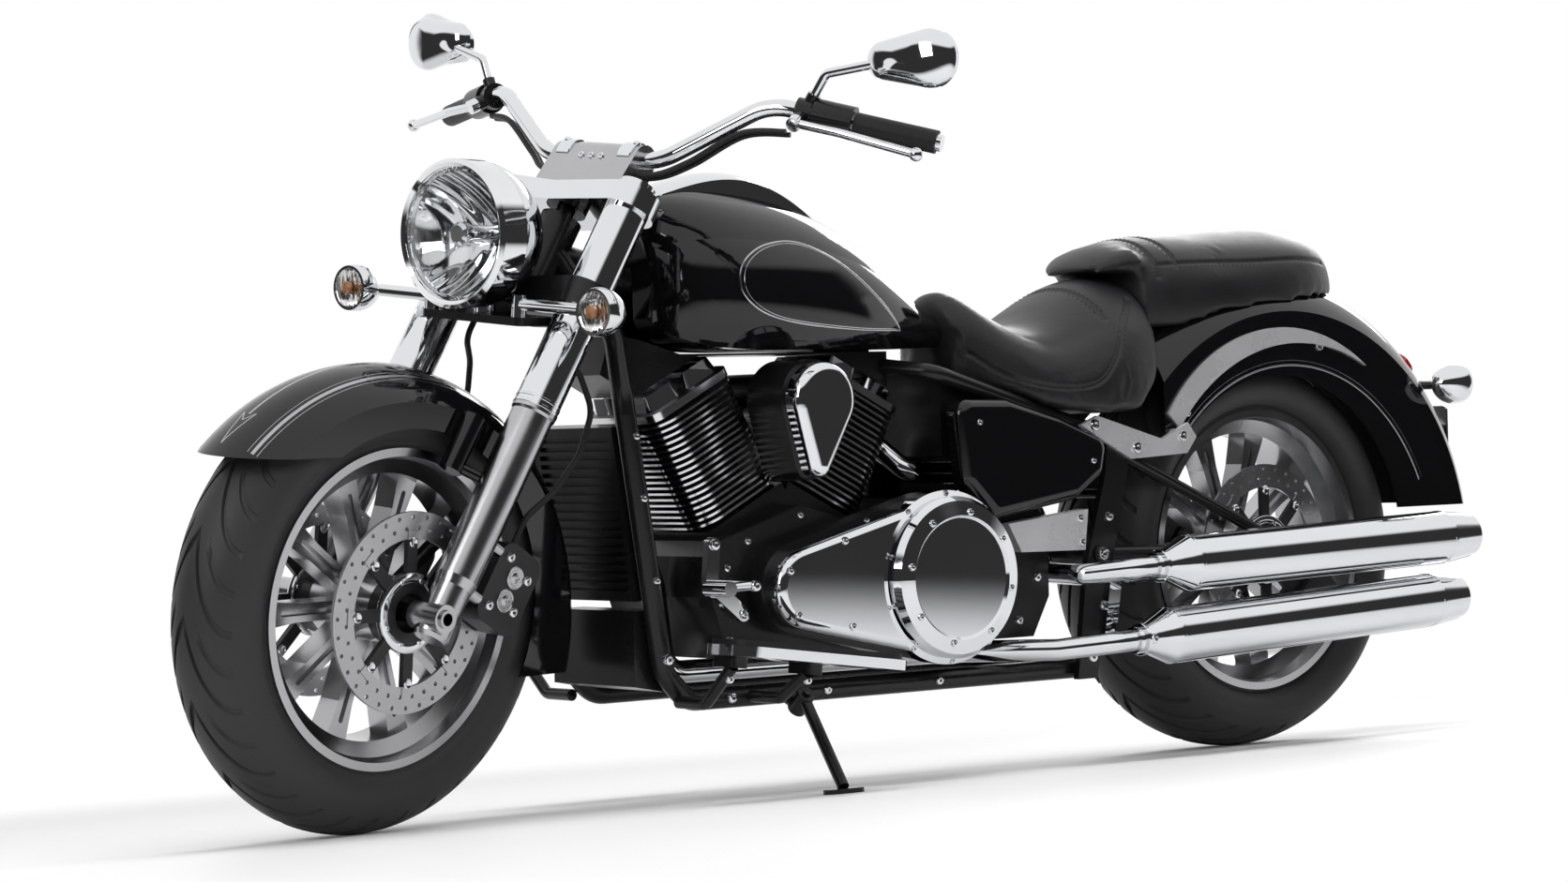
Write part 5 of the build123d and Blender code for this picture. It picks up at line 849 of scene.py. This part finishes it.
guard_lines = []
for side in (1, -1):
    for y, width in GUARD_BANDS:
        line = [round_guard(GUARD_NOSE + step, side * y) for step in range(0, 104, 2)]
        guard_lines.append(stripe(guard, FRONT, line, to_guard, width))
    for (y_from, turn_from), (y_to, turn_to) in SPEAR_TIP:
        line = []
        for part in range(TIP_PARTS + 1):
            turn = GUARD_NOSE + 2 + turn_from + (turn_to - turn_from) * part / TIP_PARTS
            line.append(round_guard(turn, side * (y_from + (y_to - y_from) * part / TIP_PARTS)))
        guard_lines.append(stripe(guard, FRONT, line, to_guard, TIP_WIDE))
middle_line = [round_guard(GUARD_NOSE + 11 + step, 0.0) for step in range(0, 92, 2)]
guard_lines.append(stripe(guard, FRONT, middle_line, to_guard, SPEAR_WIDE))
joined("guard_pinstripes", "steering", "brushed_alloy", guard_lines)

# The rear guard's arcs about a middle: (radius, width).
REAR_MIDDLE = Vector((-0.88, 0.0, 0.3))
REAR_ARCS = ((0.335, 0.0026), (0.343, 0.0012))
rear_guard = tree_of(frame["nodes"]["rear_mudguard"].data)
rear_lines = []
for side in (1, -1):
    for reach, width in REAR_ARCS:
        arc = []
        for turn in range(44, 158, 2):
            angle = math.radians(turn)
            spot_x, spot_z = REAR_MIDDLE.x + reach * math.cos(angle), REAR_MIDDLE.z + reach * math.sin(angle)
            arc.append((spot_x, side * 0.4, spot_z))
        rear_lines.append(stripe(rear_guard, BIKE, arc, (0, -side, 0), width))
joined("rear_guard_pinstripes", "chassis", "brushed_alloy", rear_lines)


# --- Bolts, rivets and rings -----------------------------------------
def ring_of(middle, reach, count, radius, start):
    """(x, z, radius) of fasteners in a circle seen from the side."""
    x, z = middle
    turns = [2 * math.pi * i / count + start for i in range(count)]
    return [(x + reach * math.cos(turn), z + reach * math.sin(turn), radius) for turn in turns]


CLUTCH = (-0.075, 0.322)
# One row a set: the piece's name, the node it lies on, and (x, z, radius) seen from the side.
BOLT_SETS = (
    ("primary_cover_bolts", "primary_covers", (
        *ring_of(CLUTCH, 0.1275, 10, 0.0046, 0.3), *ring_of(CLUTCH, 0.1, 8, 0.0056, 0.2),
        (0.235, 0.346, 0.006), (0.222, 0.28, 0.006), (0.13, 0.386, 0.006), (0.12, 0.258, 0.006),
    )),
    ("link_bolts", "foot_controls", ((0.331, 0.388, 0.0085), (0.337, 0.33, 0.0085), (0.28, 0.284, 0.0075))),
    ("trim_bolts", "chrome_trims", (
        (-0.415, 0.546, 0.0095), (-0.505, 0.508, 0.0095), (-0.607, 0.524, 0.009), (-0.374, 0.4, 0.0065),
        (-0.377, 0.362, 0.0065),
    )),
    ("guard_bolts", "rear_mudguard", ((-0.774, 0.66, 0.008), (-0.949, 0.666, 0.008), (-0.64, 0.56, 0.006))),
    ("frame_bolts", "main_frame", (
        (-0.43, 0.342, 0.011), (-0.448, 0.4, 0.008), (-0.432, 0.26, 0.008), (-0.405, 0.18, 0.009),
        (0.3, 0.162, 0.008), (0.415, 0.225, 0.009), (0.12, 0.162, 0.007), (-0.1, 0.162, 0.007),
        (0.431, 0.34, 0.006), (0.45, 0.46, 0.006), (0.46, 0.55, 0.006),
    )),
    ("engine_bolts", "crankcase", (
        (0.3, 0.245, 0.0075), (0.312, 0.3, 0.0065), (0.25, 0.236, 0.0065), (-0.27, 0.245, 0.0075),
        (-0.31, 0.31, 0.0075), (-0.315, 0.38, 0.0065), (0.3, 0.352, 0.006), (0.26, 0.39, 0.006),
        (-0.24, 0.42, 0.0065), (0.06, 0.412, 0.0055), (0.16, 0.425, 0.0055),
    )),
    ("muffler_bolts", "mufflers", ((-0.455, 0.306, 0.008), (-0.436, 0.21, 0.008))),
    ("swingarm_bolts", "swingarm", ((-0.5, 0.498, 0.0085), (-0.812, 0.36, 0.0075))),
    ("side_cover_bolts", "side_covers", ((-0.16, 0.556, 0.005), (-0.395, 0.49, 0.005))),
    ("board_bolts", "board_hangers", ((0.262, 0.19, 0.0065), (0.398, 0.2, 0.0065))),
)
for name, node, spots in BOLT_SETS:
    side_bolts(name, "chassis", node, BIKE, spots)

# On the calipers, (across, up) from the steering axis: four bolts, and two round covers over the pistons.
CALIPER_BOLTS = ((-0.052, 0.062), (-0.052, 0.138), (-0.1, 0.075), (-0.1, 0.125))
CALIPER_BOLT_R = 0.0075
CALIPER_COVERS = ((-0.077, 0.082), (-0.077, 0.118))
COVER_RINGS = (
    (-0.001, 0.0165), (0.0014, 0.0165), (0.002, 0.0155), (0.0008, 0.0145), (0.0008, 0.0115), (0.0016, 0.011),
    (0.0016, 0.008), (0.0008, 0.0075), (0.0018, 0.004),
)
caliper_spots = []
for across, up in CALIPER_BOLTS:
    spot = fork_point(across, 0, up)
    caliper_spots.append((spot.x, spot.z, CALIPER_BOLT_R))
side_bolts("caliper_bolts", "steering", "front_calipers", FRONT, caliper_spots)

RIVETS = 8
RIVET_REACH = 0.099
RIVET_RINGS = ((-0.001, 0.0075), (0.0016, 0.0075), (0.0024, 0.006), (0.0014, 0.003))
HUB_BOLT_REACH = 0.047
HUB_BOLT_R = 0.0042
HUB_BOLT_TURN = 0.39
DISC_FACE = 0.004
HUB_RING_FACE = 0.0025
HUB_RING = ((0.0, 0.057), (0.0022, 0.0565), (0.003, 0.055), (0.003, 0.0445), (0.0022, 0.043), (0.0, 0.0425))


def round_axle(axle, reach, y, angle):
    return axle + Vector((reach * math.cos(angle), y, reach * math.sin(angle)))


def disc_rivets(name, body, motion, axle, ys):
    """Floating rivets round the carrier's arms and bolts at the hub, on both faces."""
    shapes = []
    for y in ys:
        for side in (1, -1):
            face = y + side * DISC_FACE
            out = turn_of(motion, (0, side, 0))
            for index in range(RIVETS):
                angle = 2 * math.pi * index / RIVETS
                rivet = motion @ round_axle(axle, RIVET_REACH, face, angle)
                shapes.append(lathe(RIVET_RINGS, rivet, out, 14))
                hub = motion @ round_axle(axle, HUB_BOLT_REACH, face, angle + HUB_BOLT_TURN)
                shapes.append(bolt(hub, out, HUB_BOLT_R))
    joined(name, body, "chrome", shapes)


def hub_rings(name, body, motion, axle, ys):
    """The bright ring that clamps each disc carrier to its hub."""
    shapes = []
    for y in ys:
        for side in (1, -1):
            face = motion @ (axle + Vector((0, y + side * HUB_RING_FACE, 0)))
            shapes.append(ring_shape(HUB_RING, face, turn_of(motion, (0, side, 0)), 56))
    joined(name, body, "chrome", shapes)


hub_rings("front_hub_rings", "front_wheel", FRONT, FRONT_AXLE, FRONT_DISC_Y)
hub_rings("rear_hub_ring", "rear_wheel", BIKE, REAR_AXLE, REAR_DISC_Y)

caliper_tree = tree_of(frame["nodes"]["front_calipers"].data)
covers = []
for side in (1, -1):
    for across, up in CALIPER_COVERS:
        spot = fork_point(across, 0, up)
        place, _ = cast(caliper_tree, FRONT, (spot.x, side * 0.4, spot.z), (0, -side, 0))
        if place is not None:
            covers.append(lathe(COVER_RINGS, place, turn_of(FRONT, (0, side, 0)), 28))
joined("caliper_covers", "steering", "brushed_alloy", covers)

disc_rivets("front_disc_rivets", "front_wheel", FRONT, FRONT_AXLE, FRONT_DISC_Y)
disc_rivets("rear_disc_rivets", "rear_wheel", BIKE, REAR_AXLE, REAR_DISC_Y)

# On the riser block: bolts down into it at (across, y), and three on its face.
RISER_TOP = 0.7935
RISER_BOLTS = ((-0.041, 0.07), (-0.009, 0.07), (-0.041, -0.07), (-0.009, -0.07))
RISER_FACE_Y = (0.02, 0.0, -0.02)
riser_tree = tree_of(frame["nodes"]["riser_clamp"].data)
riser_shapes = []
for across, y in RISER_BOLTS:
    riser_shapes.append(bolt(FRONT @ fork_point(across, y, RISER_TOP), turn_of(FRONT, STEER_AXIS), 0.0062))
for y in RISER_FACE_Y:
    place, normal = cast(riser_tree, FRONT, fork_point(0.2, y, 0.765), -ACROSS_STEER)
    if place is not None:
        riser_shapes.append(bolt(place, normal, 0.0055))
joined("riser_bolts", "steering", "chrome", riser_shapes)

# Two clamp bows over the bar, proud of the riser block.
BAR_MIDDLE = FRONT_AXLE + Vector((-0.447, 0.0, 0.636))
CLAMP_Y = 0.062
CLAMP_HALF = 0.013
CLAMP_BEVEL = 0.001
CLAMP_R = (0.0225, 0.0262)
CLAMP_RINGS = (
    (0, CLAMP_R[0]), (0, CLAMP_R[1] - CLAMP_BEVEL), (CLAMP_BEVEL, CLAMP_R[1]),
    (2 * CLAMP_HALF - CLAMP_BEVEL, CLAMP_R[1]), (2 * CLAMP_HALF, CLAMP_R[1] - CLAMP_BEVEL),
    (2 * CLAMP_HALF, CLAMP_R[0]),
)
clamp_shapes = []
for side in (1, -1):
    middle = FRONT @ (BAR_MIDDLE + Vector((0, side * CLAMP_Y - CLAMP_HALF, 0)))
    clamp_shapes.append(ring_shape(CLAMP_RINGS, middle, turn_of(FRONT, (0, 1, 0)), 48))
joined("bar_clamps", "steering", "chrome", clamp_shapes)

# Cables along the underside of the handlebar, from the front axle's middle; they turn with it.
CABLE_ROUTE = (
    (-0.441, 0.03, 0.628), (-0.447, 0.11, 0.63), (-0.47, 0.16, 0.652),
    (-0.494, 0.235, 0.697), (-0.52, 0.3, 0.703),
)
# Each cable's place below and behind that route, and its radius.
CABLES = ((0.014, -0.012, 0.0045), (0.018, -0.002, 0.004))
cables = []
for side in (1, -1):
    for drop, behind, radius in CABLES:
        route = [FRONT @ (FRONT_AXLE + Vector((x - behind, side * y, z - drop))) for x, y, z in CABLE_ROUTE]
        cables.append(tube(smooth_line(route, 0.006), radius))
joined("bar_cables", "steering", "black_rubber", cables)


def band(length, radius, bevel):
    """The rings of a bevelled band round a tube."""
    rise = 0.001
    return ((0, radius - bevel), (rise, radius), (length - rise, radius), (length, radius - bevel))


# Two bands round each fork leg: (up, radius).
LEG_ACROSS = 0.018
LEG_Y = (0.138, -0.138)
LEG_BANDS = ((0.335, 0.0338), (0.345, 0.0337))
leg_shapes = []
for y in LEG_Y:
    for up, radius in LEG_BANDS:
        spot = FRONT @ fork_point(LEG_ACROSS, y, up)
        leg_shapes.append(lathe(band(0.005, radius, 0.0012), spot, turn_of(FRONT, STEER_AXIS), 48))
joined("leg_rings", "steering", "chrome", leg_shapes)

# Each muffler's run, with a band at its pipe and one near each end of its body: (place, radius).
MUFFLERS = (((-0.458, 0.237, 0.321), (-1.19, 0.237, 0.342)), ((-0.412, 0.237, 0.208), (-1.157, 0.237, 0.239)))
PIPE_BAND = (0.012, 0.0262)
BODY_BAND = (0.074, 0.0446)
muffler_rings = []
for start, end in MUFFLERS:
    start, end = BIKE @ Vector(start), BIKE @ Vector(end)
    run = (end - start).normalized()
    length = (end - start).length
    for place, radius in (PIPE_BAND, BODY_BAND, (length - BODY_BAND[0], BODY_BAND[1])):
        muffler_rings.append(lathe(band(0.007, radius, 0.001), start + run * place, run, 64))
joined("muffler_rings", "chassis", "chrome", muffler_rings)


# --- Mirror backs: domed over the solid's flat ones ------------------
MIRROR_MIDDLE = FRONT_AXLE + Vector((-0.567, 0.48, 0.8))
MIRROR_TOE = math.radians(6)
MIRROR_ROUNDS = ((0.0296, 0.003, 0.0425), (-0.0459, -0.003, 0.0282))
MIRROR_DOME = 0.029
MIRROR_POWER = 2.4
MIRROR_RINGS = 14
MIRROR_SIDES = 72
MIRROR_STEPS = 40


def mirror_reach(angle):
    """How far the hull of the mirror's two rounds reaches from its middle at an angle."""
    (ax, ay, ar), (bx, by, br) = MIRROR_ROUNDS
    best = 0.0
    for step in range(MIRROR_STEPS + 1):
        t = step / MIRROR_STEPS
        x, y, r = bx + (ax - bx) * t, by + (ay - by) * t, br + (ar - br) * t
        along = x * math.cos(angle) + y * math.sin(angle)
        beside = -x * math.sin(angle) + y * math.cos(angle)
        if abs(beside) < r:
            best = max(best, along + math.sqrt(r * r - beside * beside))
    return best


def mirror_dome(side):
    middle = Vector((MIRROR_MIDDLE.x, side * MIRROR_MIDDLE.y, MIRROR_MIDDLE.z))
    outboard = Vector((-math.sin(MIRROR_TOE), side * math.cos(MIRROR_TOE), 0))
    ahead = Vector((math.cos(MIRROR_TOE), side * math.sin(MIRROR_TOE), 0))
    up = ahead.cross(outboard)
    verts = []
    for ring in range(MIRROR_RINGS):
        share = math.cos(math.pi / 2 * ring / MIRROR_RINGS)
        lift = MIRROR_DOME * (1 - share**MIRROR_POWER) ** (1 / MIRROR_POWER)
        for step in range(MIRROR_SIDES):
            angle = 2 * math.pi * step / MIRROR_SIDES
            reach = mirror_reach(angle) * share
            place = middle + outboard * reach * math.cos(angle) + up * reach * math.sin(angle) + ahead * lift
            verts.append(FRONT @ place)
    faces = walls(MIRROR_RINGS, MIRROR_SIDES)
    faces.extend(reversed(caps(MIRROR_RINGS, MIRROR_SIDES)))
    return verts, faces


joined("mirror_backs", "steering", "chrome", [mirror_dome(1), mirror_dome(-1)])


# --- Lamp insides ----------------------------------------------------
BULB_BACK = Vector((-0.034, 0, 0))
BULB_RINGS = ((0, 0.013), (0.006, 0.017), (0.018, 0.017), (0.022, 0.012), (0.022, 0.003))
INDICATOR = (-0.202, 0.249, 0.428)
INDICATOR_RINGS = ((0.0195, 0.005), (0.021, 0.0085), (0.026, 0.009), (0.028, 0.006), (0.029, 0.002))
lamp_out = turn_of(FRONT, (1, 0, 0))
headlamp_bulb = lathe(BULB_RINGS, FRONT @ (LAMP + BULB_BACK), lamp_out, 32)
joined("headlamp_bulb", "steering", "chrome", [headlamp_bulb])
bulbs = []
for side in (1, -1):
    place = FRONT @ (FRONT_AXLE + Vector((INDICATOR[0], side * INDICATOR[1], INDICATOR[2])))
    bulbs.append(lathe(INDICATOR_RINGS, place, lamp_out, 20))
amber = joined("front_indicator_bulbs", "steering", "clear_lens", bulbs)
amber.data.materials[0] = AMBER


# --- Floor, light and camera -----------------------------------------
WHITE = (1, 1, 1, 1)


def studio_light(made, direction):
    """1 towards the white backdrop, the overhead light and two strips; metal sees dark elsewhere."""
    nodes = made.node_tree.nodes
    split = nodes.new("ShaderNodeSeparateXYZ")
    made.node_tree.links.new(direction, split.inputs["Vector"])
    forward = Vector(CAMERA_FORWARD)
    forward.z = 0.0
    forward.normalize()
    lit = ranged(made, vector_math(made, "DOT_PRODUCT", direction, forward), BACKDROP, kind="SMOOTHSTEP")
    above = ranged(made, split.outputs["Z"], OVERHEAD, kind="SMOOTHSTEP")
    lit = plain_math(made, "MAXIMUM", lit, above)
    for turn, wide in STRIPS:
        towards = vector_math(made, "DOT_PRODUCT", direction, Matrix.Rotation(turn, 3, "Z") @ -forward)
        span = (math.cos(wide * STRIP_EDGE), math.cos(wide))
        lit = plain_math(made, "MAXIMUM", lit, ranged(made, towards, span, kind="SMOOTHSTEP"))
    path = nodes.new("ShaderNodeLightPath").outputs["Is Glossy Ray"]
    dark = plain_math(made, "MULTIPLY", path, plain_math(made, "SUBTRACT", 1.0, lit))
    return plain_math(made, "SUBTRACT", 1.0, plain_math(made, "MULTIPLY", dark, 1 - ROOM_DARK))


def backdrop_rays(made):
    """1 for the rays that see the backdrop: from the camera, through glass and off metal."""
    path = made.node_tree.nodes.new("ShaderNodeLightPath")
    straight = plain_math(made, "MAXIMUM", path.outputs["Is Camera Ray"], path.outputs["Is Transmission Ray"])
    return plain_math(made, "MAXIMUM", straight, path.outputs["Is Glossy Ray"])


def floor():
    """A white floor that keeps the shadow near the motorcycle and fades into the backdrop."""
    bpy.ops.mesh.primitive_plane_add(size=2 * FLOOR_HALF)
    made = bpy.context.object
    made.name = "floor"
    paint = material("floor_paint", (0.8, 0.8, 0.805), 0.5, grain=40.0, wear=0.05, tint=0.004)
    nodes = paint.node_tree.nodes
    far = nodes.new("ShaderNodeEmission")
    socket(far, "Color", WHITE)
    where = nodes.new("ShaderNodeTexCoord").outputs["Object"]
    fade = ranged(paint, vector_math(paint, "LENGTH", where, None), FLOOR_FADE, kind="SMOOTHSTEP")
    ahead = vector_math(paint, "NORMALIZE", where, None)
    paint.node_tree.links.new(studio_light(paint, ahead), far.inputs["Strength"])
    seen = plain_math(paint, "MULTIPLY", fade, backdrop_rays(paint))
    near = nodes["Principled BSDF"]
    mixed(paint, seen, near.outputs["BSDF"], far.outputs["Emission"], "Material Output")
    made.data.materials.append(paint)


def area_light(name, place, aim, size, power, mirrored=True):
    data = bpy.data.lights.new(name, "AREA")
    data.shape = "RECTANGLE"
    data.size, data.size_y = size
    data.energy = power
    made = bpy.data.objects.new(name, data)
    bpy.context.collection.objects.link(made)
    made.location = place
    made.rotation_euler = (Vector(aim) - Vector(place)).to_track_quat("-Z", "Y").to_euler()
    made.visible_glossy = mirrored


def white_world():
    """Plain white behind the object; metal sees that backdrop in a studio that is dark elsewhere."""
    world = bpy.data.worlds.new("studio")
    bpy.context.scene.world = world
    world.use_nodes = True
    nodes = world.node_tree.nodes
    room = nodes["Background"]
    socket(room, "Color", WHITE)
    socket(room, "Strength", ROOM_LIGHT)
    seen = nodes.new("ShaderNodeBackground")
    socket(seen, "Color", WHITE)
    where = nodes.new("ShaderNodeTexCoord").outputs["Generated"]
    world.node_tree.links.new(studio_light(world, where), seen.inputs["Strength"])
    rays = backdrop_rays(world)
    mixed(world, rays, room.outputs["Background"], seen.outputs["Background"], "World Output")


def camera():
    data = bpy.data.cameras.new("camera")
    data.lens = CAMERA_LENS
    data.sensor_width = 36
    data.clip_end = 100
    made = bpy.data.objects.new("camera", data)
    bpy.context.collection.objects.link(made)
    turned = Matrix((Vector(CAMERA_RIGHT), Vector(CAMERA_UP), -Vector(CAMERA_FORWARD))).transposed().to_4x4()
    made.matrix_world = BIKE @ Matrix.Translation(CAMERA_PLACE) @ turned
    bpy.context.scene.camera = made


floor()
white_world()
area_light("over", (0.4, 0.6, 4.2), (0, 0, 0.4), (4.5, 2.0), 150, mirrored=False)
area_light("left_side", (0.6, 4.6, 2.2), (0, 0, 0.5), (5.0, 1.6), 90, mirrored=False)
area_light("front", (4.8, 1.2, 2.4), (0.6, 0, 0.5), (1.6, 2.4), 60)
area_light("behind", (-3.8, -2.2, 2.6), (-0.4, 0, 0.5), (2.0, 2.0), 70)
camera()
bpy.context.scene.view_settings.view_transform = "Standard"
